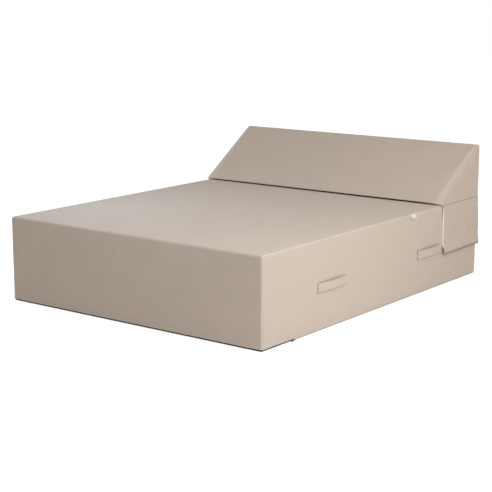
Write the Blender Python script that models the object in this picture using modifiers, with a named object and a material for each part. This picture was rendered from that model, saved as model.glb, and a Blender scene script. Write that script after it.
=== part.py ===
"""Daybed mattress: a thick foam base in a fitted cover, with a lift-off wedge backrest.

The base is a stack of foam slabs in a thin liner and an outer cover with a zip round its foot.
The wedge lies on the head end and has skirt flaps that hang over the base and grip it with
hook and loop strips. Sizes are in metres, +Z is up and the foot end points to -Y. The origin
is on the floor under the middle of the base.
"""

import math

import bmesh
import bpy
from mathutils import Matrix, Vector

# Overall sizes
base_length = 2.000
base_width = 1.580
base_height = 0.435
wedge_depth = 0.441  # to the sharp corners that the rounded edges stand in
wedge_rise = 0.296
wedge_overhang = 0.003

# Cloth, foam and the gaps between them
cloth = 0.0015
liner_cloth = 0.0006
gap = 0.0003
seam_gap = 0.0006
panel_crown = 0.004
arris_radius = 0.014
foam_arris_radius = 0.020
topper_thickness = 0.050
crown_front_gap = 0.003  # between the end of the top's crown and the wedge's sharp front

# Wedge edges and crowns
wedge_front_radius = 0.009
wedge_ridge_radius = 0.012
wedge_end_radius = 0.006
slope_crown = 0.005
back_crown = 0.003
end_crown = 0.005
end_crown_rise = 0.100
wedge_foam_slack = 0.0004
wedge_end_slack = 0.0003

# Zips
zip_chain_width = 0.006
zip_chain_thickness = 0.0024
zip_chain_recess = 0.0005
zip_lip_gap = 0.0014
tape_thickness = 0.0006
tape_past_arris = 0.004
wedge_tape_width = 0.010
base_zip_side_run = 0.235
wedge_zip_height = 0.050
wedge_zip_inset = 0.030

# Zip slider and pull
slider_length = 0.014
slider_height = 0.0100
slider_plate = 0.0015
slider_floor_gap = 0.0010
slider_arm = 0.0014
slider_keel = 0.0014
pin_radius = 0.0008
pin_stand = 0.0034  # from the plate to the middle of the pin
barrel_wall = 0.0009
pull_length = 0.022
pull_width = 0.0045
pull_thickness = 0.0012
pull_bevel = 0.0004

# Carrying handles
handle_length = 0.240
handle_width = 0.050
handle_thickness = 0.003
handle_flat_end = 0.032
handle_bow = 0.010
handle_reach = 0.457  # from the middle of the base to the middle of a handle
handle_drop = 0.225  # from the top of the base to the middle of a handle

# Skirt flaps and their hook and loop strips
flap_thickness = 0.0024
flap_drop = 0.264
side_flap_front = 0.600
back_flap_inset = 0.003
flap_front_flare = 0.014
flap_rear_flare = 0.006
flap_flare_height = 0.070
flap_settle_height = 0.110
flap_puff = 0.003
flap_puff_height = 0.045
flap_puff_start_share = 0.6  # of the way from the flap's rear edge to its front edge
strip_width = 0.050
strip_thickness = 0.0013
strip_drop = 0.163  # from the flap's seam to the middle of a strip
strip_end_inset = 0.035
strip_gap = 0.0004

# Blank tag on the top seam
tag_width = 0.050
tag_thickness = 0.0008
tag_drop = 0.016  # below the rounded edge
tag_stand = 0.004
tag_place = 0.308

# Mouths that the foam goes in through
liner_mouth_height = 0.110
liner_mouth_inset = 0.120

# How finely the forms are divided
merge = 0.00001
across_cells = 6
along_cells = 6
behind_cells = 3
height_cells = 6
wedge_cells = 6
slope_cells = 5
back_cells = 3
corner_cells = 4
handle_cells = 14
flap_cells = 10
strip_cells = 8
tag_cells = 6
round_sides = 16

# Colours as the cloth, plastic and metal show them
cloth_colour = (0.575, 0.490, 0.410)
underside_colour = (0.060, 0.056, 0.054)
liner_colour = (0.780, 0.770, 0.740)
foam_colour = (0.850, 0.820, 0.680)
topper_colour = (0.720, 0.800, 0.850)
tape_colour = (0.080, 0.070, 0.062)
chain_colour = (0.030, 0.028, 0.027)
metal_colour = (0.120, 0.115, 0.110)
strap_colour = (0.560, 0.478, 0.400)
hook_colour = (0.420, 0.360, 0.300)
tag_colour = (0.860, 0.855, 0.840)

# Sizes that follow from those above
half_width = base_width / 2
half_length = base_length / 2
liner_offset = cloth + gap
foam_offset = liner_offset + liner_cloth + gap
wedge_seat = base_height + gap
wedge_half_width = half_width + wedge_overhang
wedge_back = half_length + wedge_overhang
wedge_tip = wedge_back - wedge_depth
crown_end = wedge_tip - crown_front_gap
flap_top = wedge_seat - seam_gap
handle_height = base_height - handle_drop
strip_height = flap_top - strip_drop


def clean_scene():
    for old in list(bpy.data.objects):
        bpy.data.objects.remove(old, do_unlink=True)


def new_collection(name):
    group = bpy.data.collections.new(name)
    bpy.context.scene.collection.children.link(group)
    return group


def material(name, colour, roughness, metallic=0.0):
    made = bpy.data.materials.new(name)
    made.use_nodes = True
    shader = made.node_tree.nodes["Principled BSDF"]
    shader.inputs["Base Color"].default_value = (*colour, 1.0)
    shader.inputs["Roughness"].default_value = roughness
    shader.inputs["Metallic"].default_value = metallic
    made.diffuse_color = (*colour, 1.0)
    return made


def make_object(name, bm, finish):
    """Puts a finished bmesh into the mattress collection as one named object."""
    mesh = bpy.data.meshes.new(name)
    bm.to_mesh(mesh)
    bm.free()
    mesh.materials.append(material(name, *finish))
    mesh.shade_smooth()
    mesh.set_sharp_from_angle(angle=math.radians(35.0))
    piece = bpy.data.objects.new(name, mesh)
    parts.objects.link(piece)
    return piece


def thicken(piece, thickness, inwards=True):
    """Gives an open surface the thickness of its cloth."""
    wall = piece.modifiers.new("Thickness", "SOLIDIFY")
    wall.thickness = thickness
    wall.offset = -1.0 if inwards else 1.0
    return piece


def sheet(name, rows, columns, place, thickness, finish, inwards=True):
    """A cloth panel: a grid whose point (row, column) lies where place says."""
    bm = bmesh.new()
    bmesh.ops.create_grid(bm, x_segments=len(columns) - 1, y_segments=len(rows) - 1, size=0.5)
    for vert in bm.verts:
        column = columns[round((vert.co.x + 0.5) * (len(columns) - 1))]
        row = rows[round((vert.co.y + 0.5) * (len(rows) - 1))]
        vert.co = place(row, column)
    bmesh.ops.remove_doubles(bm, verts=bm.verts[:], dist=merge)
    return thicken(make_object(name, bm, finish), thickness, inwards)


def spread(low, high, cells):
    """Places from low to high that crowd towards both ends, where a crown bends most."""
    middle = (low + high) / 2
    half = (high - low) / 2
    return [middle - half * math.cos(math.pi * step / cells) for step in range(cells + 1)]


def even(low, high, cells):
    return [low + (high - low) * step / cells for step in range(cells + 1)]


def swell(value, low=0.0, high=1.0):
    """1 in the middle of a firm face, flat over most of it, and 0 at its ends and beyond."""
    share = (2 * value - low - high) / (high - low)
    return max(0.0, 1.0 - share ** 4)


def ease(share):
    share = min(1.0, max(0.0, share))
    return share * share * (3 - 2 * share)


def arc_place(radius, angle):
    """How far from its box's edge a rounded edge's point lies before it is rounded."""
    return radius * (1 - math.tan(angle))


# The base's own shape

base_low = Vector((-half_width, -half_length, 0))
base_high = Vector((half_width, half_length, base_height))
arc_angles = [0.0, math.radians(24.0), math.radians(40.0)]
chain_radius = arris_radius - zip_chain_recess
chain_low_angle = math.radians(45.0)
chain_high_angle = chain_low_angle - zip_chain_width / chain_radius
lip_angle = chain_high_angle - zip_lip_gap / arris_radius
tape_angle = chain_high_angle - gap / (arris_radius - liner_offset)
base_zip_end = -half_length + base_zip_side_run


def base_crown(point):
    """How far a firm face of the base bulges out, as a vector, at a point of its sharp box."""
    inside_low = base_low + Vector((1, 1, 1)) * foam_arris_radius
    inside_high = base_high - Vector((1, 1, 1)) * foam_arris_radius
    across = swell(point.x, inside_low.x, inside_high.x)
    along = swell(point.y, inside_low.y, inside_high.y)
    top_along = swell(point.y, inside_low.y, crown_end) if point.y < crown_end else 0.0
    up = swell(point.z, inside_low.z, inside_high.z)
    push = Vector((0, 0, 0))
    if abs(point.x) > half_width - merge:
        push.x = math.copysign(panel_crown * along * up, point.x)
    if abs(point.y) > half_length - merge:
        push.y = math.copysign(panel_crown * across * up, point.y)
    if point.z > base_height - merge:
        push.z = panel_crown * across * top_along
    return push


def base_point(point, radius, offset):
    """Rounds a point of the base's sharp box, then sinks it by offset below the outer face."""
    core = Vector([
        min(max(point[axis], base_low[axis] + radius), base_high[axis] - radius)
        for axis in range(3)
    ])
    return core + (point - core).normalized() * (radius - offset) + base_crown(point)


def base_cuts(radius, arcs):
    """Where the base's box is divided along X, Y and Z, so that it can crown and round."""
    edge = foam_arris_radius
    cuts = [
        spread(-half_width + edge, half_width - edge, across_cells),
        spread(-half_length + edge, crown_end, along_cells)
        + even(crown_end, half_length - edge, behind_cells)[1:],
        spread(edge, base_height - edge, height_cells),
    ]
    for axis in range(3):
        for angle in arcs:
            cuts[axis].append(base_low[axis] + arc_place(radius, angle))
            cuts[axis].append(base_high[axis] - arc_place(radius, angle))
    return cuts


def divided_box(cuts):
    """A box round the base, divided by a plane at each place in cuts."""
    bm = bmesh.new()
    bmesh.ops.create_cube(bm, size=1.0)
    for vert in bm.verts:
        vert.co.x *= base_width
        vert.co.y *= base_length
        vert.co.z = (vert.co.z + 0.5) * base_height
    for axis in range(3):
        normal = Vector((0, 0, 0))
        normal[axis] = 1.0
        for place in cuts[axis]:
            everything = bm.verts[:] + bm.edges[:] + bm.faces[:]
            bmesh.ops.bisect_plane(
                bm, geom=everything, dist=merge, plane_co=normal * place, plane_no=normal
            )
    return bm


def keep_faces(bm, wanted):
    """Deletes every face whose centre and normal aren't wanted."""
    unwanted = [face for face in bm.faces if not wanted(face.calc_center_median(), face.normal)]
    bmesh.ops.delete(bm, geom=unwanted, context="FACES")


def round_base(bm, radius, offset):
    for vert in bm.verts:
        vert.co = base_point(vert.co.copy(), radius, offset)


def cover_cuts():
    """The cover's divisions: those of the crown, of the rounded edges, its seams and its zip."""
    cuts = base_cuts(arris_radius, arc_angles)
    for axis in range(3):
        cuts[axis].append(base_low[axis] + seam_gap)
        cuts[axis].append(base_high[axis] - seam_gap)
    for angle in (lip_angle, tape_angle, chain_high_angle):
        cuts[2].append(arc_place(arris_radius, angle))
    cuts[1].append(base_zip_end)
    return cuts


def in_zip_stretch(centre):
    """Whether a place on the base's outline lies where the zip runs."""
    return centre.y < base_zip_end


def base_skin(name, wanted, offset, thickness, finish, cuts):
    """A cloth layer over the wanted faces of the base's box, offset below its outer face."""
    bm = divided_box(cuts)
    keep_faces(bm, wanted)
    round_base(bm, arris_radius, offset)
    return thicken(make_object(name, bm, finish), thickness)


def clear_of_seam(value, limit):
    return abs(value) < limit - seam_gap


def above_lip(centre):
    """Whether a place is above the zip's slot, or above the bottom seam where there is no zip."""
    lip = arc_place(arris_radius, lip_angle) if in_zip_stretch(centre) else seam_gap
    return centre.z > lip


cloth_finish = (cloth_colour, 0.85)
underside_finish = (underside_colour, 0.9)
liner_finish = (liner_colour, 0.7)
tape_finish = (tape_colour, 0.9)
chain_finish = (chain_colour, 0.45)
metal_finish = (metal_colour, 0.4, 0.8)
foam_finish = (foam_colour, 0.95)
topper_finish = (topper_colour, 0.95)
strap_finish = (strap_colour, 0.85)
hook_finish = (hook_colour, 0.95)
tag_finish = (tag_colour, 0.7)


def base_wrap():
    """One cloth from the foot end's bottom, over the top, to the head end's bottom."""
    cuts = cover_cuts()
    # No seam crosses this cloth at the foot and head edges of the top, so nothing is cut there.
    cuts[1] = [place for place in cuts[1] if clear_of_seam(place, half_length - merge)]
    cuts[2] = [place for place in cuts[2] if place < base_height - seam_gap - merge]

    def wanted(centre, normal):
        on_side = abs(normal.x) > 0.5
        underneath = normal.z < -0.5
        return not on_side and not underneath and clear_of_seam(centre.x, half_width) and above_lip(centre)

    return base_skin("base_cover_wrap", wanted, 0.0, cloth, cloth_finish, cuts)


def base_side(name, side):
    """One side panel, sewn in along the top, both ends and the bottom."""

    def wanted(centre, normal):
        facing = normal.x * side > 0.5
        inside = clear_of_seam(centre.y, half_length) and centre.z < base_height - seam_gap
        return facing and inside and above_lip(centre)

    return base_skin(name, wanted, 0.0, cloth, cloth_finish, cover_cuts())


def base_underside():
    """The hard-wearing panel that lies on the floor, and curls up to the bottom seam."""

    def wanted(centre, normal):
        inside = clear_of_seam(centre.x, half_width) and clear_of_seam(centre.y, half_length)
        return normal.z < -0.5 and inside

    return base_skin("base_cover_underside", wanted, 0.0, cloth, underside_finish, cover_cuts())


def base_zip():
    """Two tapes and the closed chain between them, round the foot end's bottom edge."""
    tape_edge = arris_radius + tape_past_arris
    cuts = cover_cuts()
    cuts[2].append(tape_edge)
    cuts[0].extend([-half_width + tape_edge, half_width - tape_edge])
    cuts[1].append(-half_length + tape_edge)

    def upper_tape(centre, normal):
        low = arc_place(arris_radius, tape_angle)
        return abs(normal.z) < 0.5 and in_zip_stretch(centre) and low < centre.z < tape_edge

    def chain(centre, normal):
        high = arc_place(arris_radius, chain_high_angle)
        return abs(normal.z) < 0.5 and in_zip_stretch(centre) and seam_gap < centre.z < high

    def lower_tape(centre, normal):
        near_side = abs(centre.x) > half_width - tape_edge
        near_foot = centre.y < -half_length + tape_edge
        inside = clear_of_seam(centre.x, half_width) and clear_of_seam(centre.y, half_length)
        return normal.z < -0.5 and inside and in_zip_stretch(centre) and (near_side or near_foot)

    base_skin("base_zip_tape_upper", upper_tape, liner_offset, tape_thickness, tape_finish, cuts)
    base_skin("base_zip_tape_lower", lower_tape, liner_offset, tape_thickness, tape_finish, cuts)
    base_skin("base_zip_chain", chain, zip_chain_recess, zip_chain_thickness, chain_finish, cuts)


def base_liner():
    """A thin bag round the foam, open low at the foot end, behind the zip."""
    bm = divided_box(base_cuts(foam_arris_radius, [0.0]))
    mouth = half_width - liner_mouth_inset

    def wanted(centre, normal):
        low = foam_arris_radius < centre.z < liner_mouth_height
        return not (normal.y < -0.5 and low and abs(centre.x) < mouth)

    keep_faces(bm, wanted)
    round_base(bm, foam_arris_radius, liner_offset)
    return thicken(make_object("base_liner", bm, liner_finish), liner_cloth)


def foam_slab(name, low, high, finish):
    """One slab of the foam block, between two heights."""
    bm = divided_box(base_cuts(foam_arris_radius, [0.0]))
    round_base(bm, foam_arris_radius, foam_offset)
    for place, up in ((low, -1.0), (high, 1.0)):
        if place is None:
            continue
        everything = bm.verts[:] + bm.edges[:] + bm.faces[:]
        cut = bmesh.ops.bisect_plane(
            bm, geom=everything, dist=merge, plane_co=(0, 0, place), plane_no=(0, 0, up), clear_outer=True
        )
        rim = [item for item in cut["geom_cut"] if isinstance(item, bmesh.types.BMEdge)]
        bmesh.ops.holes_fill(bm, edges=rim)
    bmesh.ops.recalc_face_normals(bm, faces=bm.faces[:])
    return make_object(name, bm, finish)


def base_foam():
    top_of_support = base_height - foam_offset - topper_thickness
    middle = (foam_offset + top_of_support) / 2
    foam_slab("base_foam_lower", None, middle - gap / 2, foam_finish)
    foam_slab("base_foam_upper", middle + gap / 2, top_of_support - gap / 2, foam_finish)
    foam_slab("base_foam_topper", top_of_support + gap / 2, None, topper_finish)


# The wedge's section, seen from its right end: (y, z) pairs

slope_angle = math.atan2(wedge_rise, wedge_depth)


def corner_centre(corner, first, second, radius):
    """The middle of the arc that rounds a corner whose two edges run along first and second."""
    half = math.acos(first.dot(second)) / 2
    return corner + (first + second).normalized() * (radius / math.sin(half))


class Station:
    """A place on the wedge's section, with its shares along the slope and down the back."""

    def __init__(self, centre, radius, normal, slope=0.0, back=0.0, lift=0):
        self.centre = centre
        self.radius = radius
        self.normal = normal
        self.slope = slope
        self.back = back
        self.lift = lift


def turn(start, end, share):
    angle = start + (end - start) * share
    return Vector((math.cos(angle), math.sin(angle)))


def wedge_section():
    """Stations round the wedge from its front's bottom, up the slope and down the back.

    A layer's point lies on the station's normal, at the radius less the layer's depth, from
    the centre. The station at the heel also lies a layer's depth above the underside.
    """
    tip = Vector((wedge_tip, wedge_seat))
    ridge = Vector((wedge_back, wedge_seat + wedge_rise))
    up_slope = (ridge - tip).normalized()
    front_centre = corner_centre(tip, up_slope, Vector((1, 0)), wedge_front_radius)
    ridge_centre = corner_centre(ridge, -up_slope, Vector((0, -1)), wedge_ridge_radius)
    down = math.radians(-90.0)
    slope_normal = slope_angle + math.radians(90.0)
    stations = []
    for share in even(0.0, 1.0, corner_cells):
        normal = turn(down + math.tau, slope_normal, share)
        stations.append(Station(front_centre, wedge_front_radius, normal))
    for share in spread(0.0, 1.0, slope_cells)[1:-1]:
        centre = front_centre.lerp(ridge_centre, share)
        radius = wedge_front_radius + (wedge_ridge_radius - wedge_front_radius) * share
        stations.append(Station(centre, radius, turn(slope_normal, 0.0, 0.0), slope=share))
    for share in even(0.0, 1.0, corner_cells):
        stations.append(Station(ridge_centre, wedge_ridge_radius, turn(slope_normal, 0.0, share)))
    middle = wedge_seat + wedge_zip_height
    lip = zip_chain_width / 2 + zip_lip_gap
    for share in spread(0.0, 1.0, back_cells)[1:]:
        centre = ridge_centre.lerp(Vector((ridge_centre.x, middle + lip)), share)
        stations.append(Station(centre, wedge_ridge_radius, Vector((1, 0)), back=share))
    for height, lift in ((middle - lip, 0), (wedge_seat, 1)):
        centre = Vector((ridge_centre.x, height))
        stations.append(Station(centre, wedge_ridge_radius, Vector((1, 0)), lift=lift))
    return stations


section = wedge_section()
heel_index = len(section) - 1
low_lip_index = heel_index - 1
high_lip_index = low_lip_index - 1
wedge_core = wedge_half_width - wedge_end_radius


def wedge_point(row, column, offset, back_room=0.0):
    """A point of the wedge's skin, or of a layer offset below it.

    The row is ("run", x) along the wedge, ("edge", side, angle) round an end's edge, or
    ("end", side, share) on an end, from its edge at 1 to the middle of its bottom at 0.
    The column is a station of the section.
    """
    station = section[column]
    normal = station.normal
    flat = Vector((normal.x, max(normal.y, 0.0)))
    turn_radius = wedge_end_radius - offset
    slack = wedge_end_slack if offset else 0.0
    depth = normal * offset + Vector((max(normal.x, 0.0) * back_room, -station.lift * offset))
    point = station.centre + normal * station.radius - depth
    if row[0] == "run":
        across = row[1]
        inside = swell(across, -wedge_core, wedge_core)
        crown = slope_crown * swell(station.slope) + back_crown * swell(station.back)
        point = point + normal * crown * inside
        return Vector((across, point.x, point.y))
    side = row[1]
    if row[0] == "edge":
        angle = row[2]
        point = point - flat * turn_radius * (1 - math.cos(angle))
        return Vector((side * (wedge_core + (turn_radius - slack) * math.sin(angle)), point.x, point.y))
    share = row[2]
    point = point - flat * turn_radius
    foot = Vector(((wedge_tip + wedge_back) / 2, wedge_seat + offset))
    point = foot.lerp(point, share)
    low_share = ease((point.y - wedge_seat) / end_crown_rise)
    bulge = end_crown * 4 * share * (1 - share) * low_share
    return Vector((side * (wedge_core + turn_radius - slack + bulge), point.x, point.y))


def wedge_rows(edge_angles):
    """Rows of the skin between two end seams, or right round to the ends' edges."""
    left = [("edge", -1, angle) for angle in reversed(edge_angles)]
    run = [("run", across) for across in spread(-wedge_core, wedge_core, wedge_cells)]
    right = [("edge", 1, angle) for angle in edge_angles]
    return left + run + right


seam_angle = math.radians(45.0)
seam_half = seam_gap / 2 / wedge_end_radius
wrap_angles = [math.radians(22.0), math.radians(38.0), seam_angle - seam_half]
end_angles = [seam_angle + seam_half, math.radians(52.0), math.radians(70.0)]
end_shares = [1.0, 0.8, 0.5, 0.2, 0.0]


def wedge_sheet(name, columns, rows):
    """A cloth panel on the wedge's skin, over some of the section's stations and some rows."""

    def place(column, row):
        return wedge_point(row, column, 0.0)

    return sheet(name, columns, rows, place, cloth, cloth_finish)


def wedge_wrap():
    """One cloth from under the front edge, up the slope, over the ridge and down to the zip."""
    wedge_sheet("wedge_cover_wrap", list(range(high_lip_index + 1)), wedge_rows(wrap_angles))


def wedge_back_strip():
    """The narrow strip of cloth between the zip and the heel, where the back flap is sewn."""
    wedge_sheet("wedge_cover_back_strip", [low_lip_index, heel_index], wedge_rows(wrap_angles))


def wedge_end(name, side):
    """One triangular end panel, down to the seam of its skirt flap."""
    rows = [("edge", side, angle) for angle in end_angles]
    rows += [("end", side, share) for share in end_shares]
    if side < 0:
        rows.reverse()
    wedge_sheet(name, list(range(heel_index + 1)), rows)


def wedge_underside():
    """The flat cloth that lies on the base, inside the front edge, the ends and the heel."""
    inset = cloth + gap
    reach = wedge_core
    front = section[0].centre.x + seam_gap + gap
    heel = wedge_back - inset
    across = even(-reach, reach, wedge_cells)
    along = [front, heel]

    def place(y, x):
        return Vector((x, y, wedge_seat))

    sheet("wedge_cover_underside", along, list(reversed(across)), place, cloth, underside_finish)


def wedge_shell(offset, back_room):
    """The wedge's whole skin at a depth, ends and all, open underneath."""
    bm = bmesh.new()
    rows = [("end", -1, share) for share in reversed(end_shares)]
    rows += wedge_rows([seam_angle])
    rows += [("end", 1, share) for share in end_shares]
    columns = list(range(len(section)))
    bmesh.ops.create_grid(bm, x_segments=len(rows) - 1, y_segments=len(columns) - 1, size=0.5)
    for vert in bm.verts:
        row = rows[round((vert.co.x + 0.5) * (len(rows) - 1))]
        column = columns[round((vert.co.y + 0.5) * (len(columns) - 1))]
        vert.co = wedge_point(row, column, offset, back_room)
    bmesh.ops.remove_doubles(bm, verts=bm.verts[:], dist=merge)
    rim = [edge for edge in bm.edges if edge.is_boundary]
    bmesh.ops.holes_fill(bm, edges=rim)
    bmesh.ops.recalc_face_normals(bm, faces=bm.faces[:])
    return bm


zip_room = zip_chain_recess + zip_chain_thickness + gap - liner_offset


def wedge_fill():
    """The foam wedge in its thin liner, which is open along its underside."""
    liner = wedge_shell(liner_offset, zip_room)
    keep_faces(liner, lambda centre, normal: normal.z > -0.9)
    thicken(make_object("wedge_liner", liner, liner_finish), liner_cloth)
    foam = wedge_shell(foam_offset + wedge_foam_slack, zip_room)
    make_object("wedge_foam", foam, foam_finish)


def wedge_zip():
    """Two tapes and a closed chain across the wedge's back."""
    along = even(wedge_core, -wedge_core, wedge_cells)
    middle = wedge_seat + wedge_zip_height
    chain_half = zip_chain_width / 2
    tape_low = chain_half + gap
    tape_high = tape_low + wedge_tape_width

    def band(name, depth, low, high, thickness, finish):
        def place(height, across):
            return Vector((across, wedge_back - depth, middle + height))

        sheet(name, [low, high], along, place, thickness, finish)

    band("wedge_zip_tape_upper", liner_offset, tape_low, tape_high, tape_thickness, tape_finish)
    band("wedge_zip_tape_lower", liner_offset, -tape_high, -tape_low, tape_thickness, tape_finish)
    band("wedge_zip_chain", zip_chain_recess, -chain_half, chain_half, zip_chain_thickness, chain_finish)


# Small solids

def box_mesh(low, high):
    bm = bmesh.new()
    bmesh.ops.create_cube(bm, size=1.0)
    for vert in bm.verts:
        for axis in range(3):
            vert.co[axis] = low[axis] + (high[axis] - low[axis]) * (vert.co[axis] + 0.5)
    return bm


def post_mesh(centre, low, high, radius):
    """An upright round post."""
    bm = bmesh.new()
    bmesh.ops.create_cone(
        bm, cap_ends=True, segments=round_sides, radius1=radius, radius2=radius, depth=high - low
    )
    for vert in bm.verts:
        vert.co += Vector((centre[0], centre[1], (low + high) / 2))
    return bm


def solid(name, bm, group):
    mesh = bpy.data.meshes.new(name)
    bm.to_mesh(mesh)
    bm.free()
    piece = bpy.data.objects.new(name, mesh)
    group.objects.link(piece)
    return piece


def combine(piece, other, operation):
    other.hide_render = True
    other.display_type = "WIRE"
    step = piece.modifiers.new(other.name, "BOOLEAN")
    step.operation = operation
    step.object = other
    step.solver = "EXACT"


barrel_bore = pin_radius + gap
barrel_radius = barrel_bore + barrel_wall


def zip_hardware(prefix, corner, keel_reach, keel_height, finish):
    """A slider and its pull, made as on a zip that faces +X and runs along Y.

    Its plate stands just off the cloth's face. corner is (place along the zip, face, bottom
    of the plate). The pull lies along the zip past the slider, on an upright pin.
    """
    along, face, bottom = corner
    inner = face + gap
    outer = inner + slider_plate
    pin_x = outer + pin_stand
    top = bottom + slider_height
    half = slider_length / 2
    name = prefix + "_zip_slider"
    plate = box_mesh((inner, along - half, bottom), (outer, along + half, top))
    slider = make_object(name, plate, finish)
    arm_half = pin_radius + slider_arm / 2
    pieces = [
        ("keel", box_mesh(
            (face - keel_reach, along - half + slider_keel, keel_height - slider_keel),
            (outer - slider_plate / 2, along + half - slider_keel, keel_height),
        )),
        ("lower_arm", box_mesh(
            (outer - slider_plate / 2, along - arm_half, bottom),
            (pin_x + arm_half, along + arm_half, bottom + slider_arm),
        )),
        ("upper_arm", box_mesh(
            (outer - slider_plate / 2, along - arm_half, top - slider_arm),
            (pin_x + arm_half, along + arm_half, top),
        )),
        ("pin", post_mesh((pin_x, along), bottom + slider_arm / 2, top - slider_arm / 2, pin_radius)),
    ]
    for label, bm in pieces:
        combine(slider, solid(name + "_" + label, bm, cutters), "UNION")
    middle = (bottom + top) / 2
    barrel_low = bottom + slider_arm + gap
    barrel_high = top - slider_arm - gap
    pull_name = prefix + "_zip_pull"
    tab = box_mesh(
        (pin_x - pull_thickness / 2, along + barrel_bore + barrel_wall / 2, middle - pull_width / 2),
        (pin_x + pull_thickness / 2, along + pull_length, middle + pull_width / 2),
    )
    pull = make_object(pull_name, tab, finish)
    soften = pull.modifiers.new("Soft edges", "BEVEL")
    soften.width = pull_bevel
    soften.segments = 1
    barrel = post_mesh((pin_x, along), barrel_low, barrel_high, barrel_radius)
    combine(pull, solid(pull_name + "_barrel", barrel, cutters), "UNION")
    bore = post_mesh((pin_x, along), bottom, top, barrel_bore)
    combine(pull, solid(pull_name + "_bore", bore, cutters), "DIFFERENCE")
    return slider, pull, pin_x


def place_hardware(slider, pull, pivot, heading, target):
    """Turns a slider and pull about the pin, puts the pin at target, and their origins there."""
    for piece in (slider, pull):
        helpers = [step.object for step in piece.modifiers if step.type == "BOOLEAN"]
        for item in [piece] + helpers:
            item.data.transform(Matrix.Translation(-pivot))
            item.data.update()
            item.rotation_euler.z = heading
            item.location = target


def base_zip_hardware():
    bottom = slider_floor_gap
    chain_nearest = arris_radius - chain_radius * math.cos(chain_high_angle)
    chain_top = arris_radius - chain_radius * math.sin(chain_high_angle)
    along = base_zip_end - slider_length / 2
    slider, pull, pin_x = zip_hardware(
        "base", (along, half_width, bottom), chain_nearest - gap, chain_top, metal_finish
    )
    pivot = Vector((pin_x, along, 0))
    place_hardware(slider, pull, pivot, 0.0, pivot)


def wedge_zip_hardware():
    middle = wedge_seat + wedge_zip_height
    bottom = middle - slider_height / 2
    reach = wedge_core - wedge_zip_inset
    along = reach - slider_length / 2
    slider, pull, pin_x = zip_hardware(
        "wedge", (along, wedge_back, bottom), zip_chain_recess - gap, middle + slider_keel / 2, metal_finish
    )
    pivot = Vector((pin_x, along, 0))
    place_hardware(slider, pull, pivot, math.radians(90.0), Vector((-along, pin_x, 0)))


# Straps, flaps, strips and the tag

def side_face(y, z):
    """Where the base's side panel lies at a place, crown and all."""
    return half_width + base_crown(Vector((half_width, y, z))).x


def side_sheet(name, side, places, heights, place, thickness, finish):
    """A sheet that faces out of the right (1) or left (-1) side, thickened outwards."""

    def turned(height, along):
        return place(along, height)

    if side > 0:
        return sheet(name, heights, places, turned, thickness, finish, False)
    return sheet(name, places, heights, place, thickness, finish, False)


def handle(name, side, middle):
    """A doubled strap, sewn flat to the side at both ends and bowed between them."""
    half = handle_length / 2
    flat = half - handle_flat_end
    places = [-half] + even(-flat, flat, handle_cells) + [half]
    heights = [handle_height - handle_width / 2, handle_height, handle_height + handle_width / 2]

    def place(along, height):
        bow = handle_bow * ease(1 - (abs(along) / flat) ** 2) if abs(along) < flat else 0.0
        y = middle + along
        return Vector((side * (side_face(y, height) + gap + bow), y, height))

    return side_sheet(name, side, places, heights, place, handle_thickness, strap_finish)


def strip_stack():
    """How far a flap's inner face stands off the base's fullest face, past both strips."""
    return gap + strip_thickness + strip_gap + strip_thickness + gap


def flap_inner(drop, front_share):
    """How far out of the base's plain side a flap's inner face hangs, at a drop below its seam.

    The front share is 1 at the side flap's front edge and 0 at its rear.
    """
    top = wedge_overhang - flap_thickness
    settled = panel_crown + strip_stack()
    flare = flap_rear_flare + (flap_front_flare - flap_rear_flare) * ease(front_share)
    hang = top + (settled - top) * ease(drop / flap_settle_height)
    hang += flare * ease((drop - flap_drop + flap_flare_height) / flap_flare_height)
    near_front = ease((front_share - flap_puff_start_share) / (1 - flap_puff_start_share))
    hang += flap_puff * near_front * math.sin(math.pi * min(1.0, drop / (2 * flap_puff_height)))
    return hang


def side_flap(name, side):
    """A side flap, whose origin is on the seam that it swings about."""
    rear = wedge_back
    levels = even(-flap_drop, 0.0, flap_cells)
    places = even(side_flap_front, rear, flap_cells)
    seam = Vector((side * wedge_half_width, 0, flap_top))

    def place(along, level):
        share = (rear - along) / (rear - side_flap_front)
        out = half_width + flap_inner(-level, share)
        return Vector((side * out, along, flap_top + level)) - seam

    flap = side_sheet(name, side, places, levels, place, flap_thickness, cloth_finish)
    flap.location = seam
    return flap


def back_flap():
    """The back flap, as wide as the wedge's back, with the same drop."""
    reach = half_width - back_flap_inset
    drops = even(0.0, flap_drop, flap_cells)
    places = even(-reach, reach, flap_cells)
    seam = Vector((0, wedge_back, flap_top))

    def place(drop, across):
        out = half_length + flap_inner(drop, 0.0)
        return Vector((across, out, flap_top - drop)) - seam

    flap = sheet("skirt_flap_back", drops, places, place, flap_thickness, cloth_finish, False)
    flap.location = seam
    return flap


loop_face = panel_crown + gap
hook_face = loop_face + strip_thickness + strip_gap
strip_edges = [strip_height - strip_width / 2, strip_height + strip_width / 2]


def side_strips(label, side):
    """A loop strip on one side of the base, and the hook strip inside the flap over it."""
    places = even(side_flap_front + strip_end_inset, half_length - strip_end_inset, strip_cells)

    def loop_place(along, height):
        return Vector((side * (side_face(along, strip_height) + gap), along, height))

    def hook_place(along, height):
        return Vector((side * (half_width + hook_face), along, height))

    for kind, place in (("loop", loop_place), ("hook", hook_place)):
        name = kind + "_strip_" + label
        side_sheet(name, side, places, strip_edges, place, strip_thickness, hook_finish)


def back_strips():
    """The loop and hook strips at the head end, made the same way."""
    reach = half_width - strip_end_inset
    places = even(-reach, reach, strip_cells)

    def loop_place(across, height):
        crown = base_crown(Vector((across, half_length, strip_height))).y
        return Vector((across, half_length + crown + gap, height))

    def hook_place(across, height):
        return Vector((across, half_length + hook_face, height))

    for kind, place in (("loop", loop_place), ("hook", hook_place)):
        sheet(kind + "_strip_back", places, strip_edges, place, strip_thickness, hook_finish, False)


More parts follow.
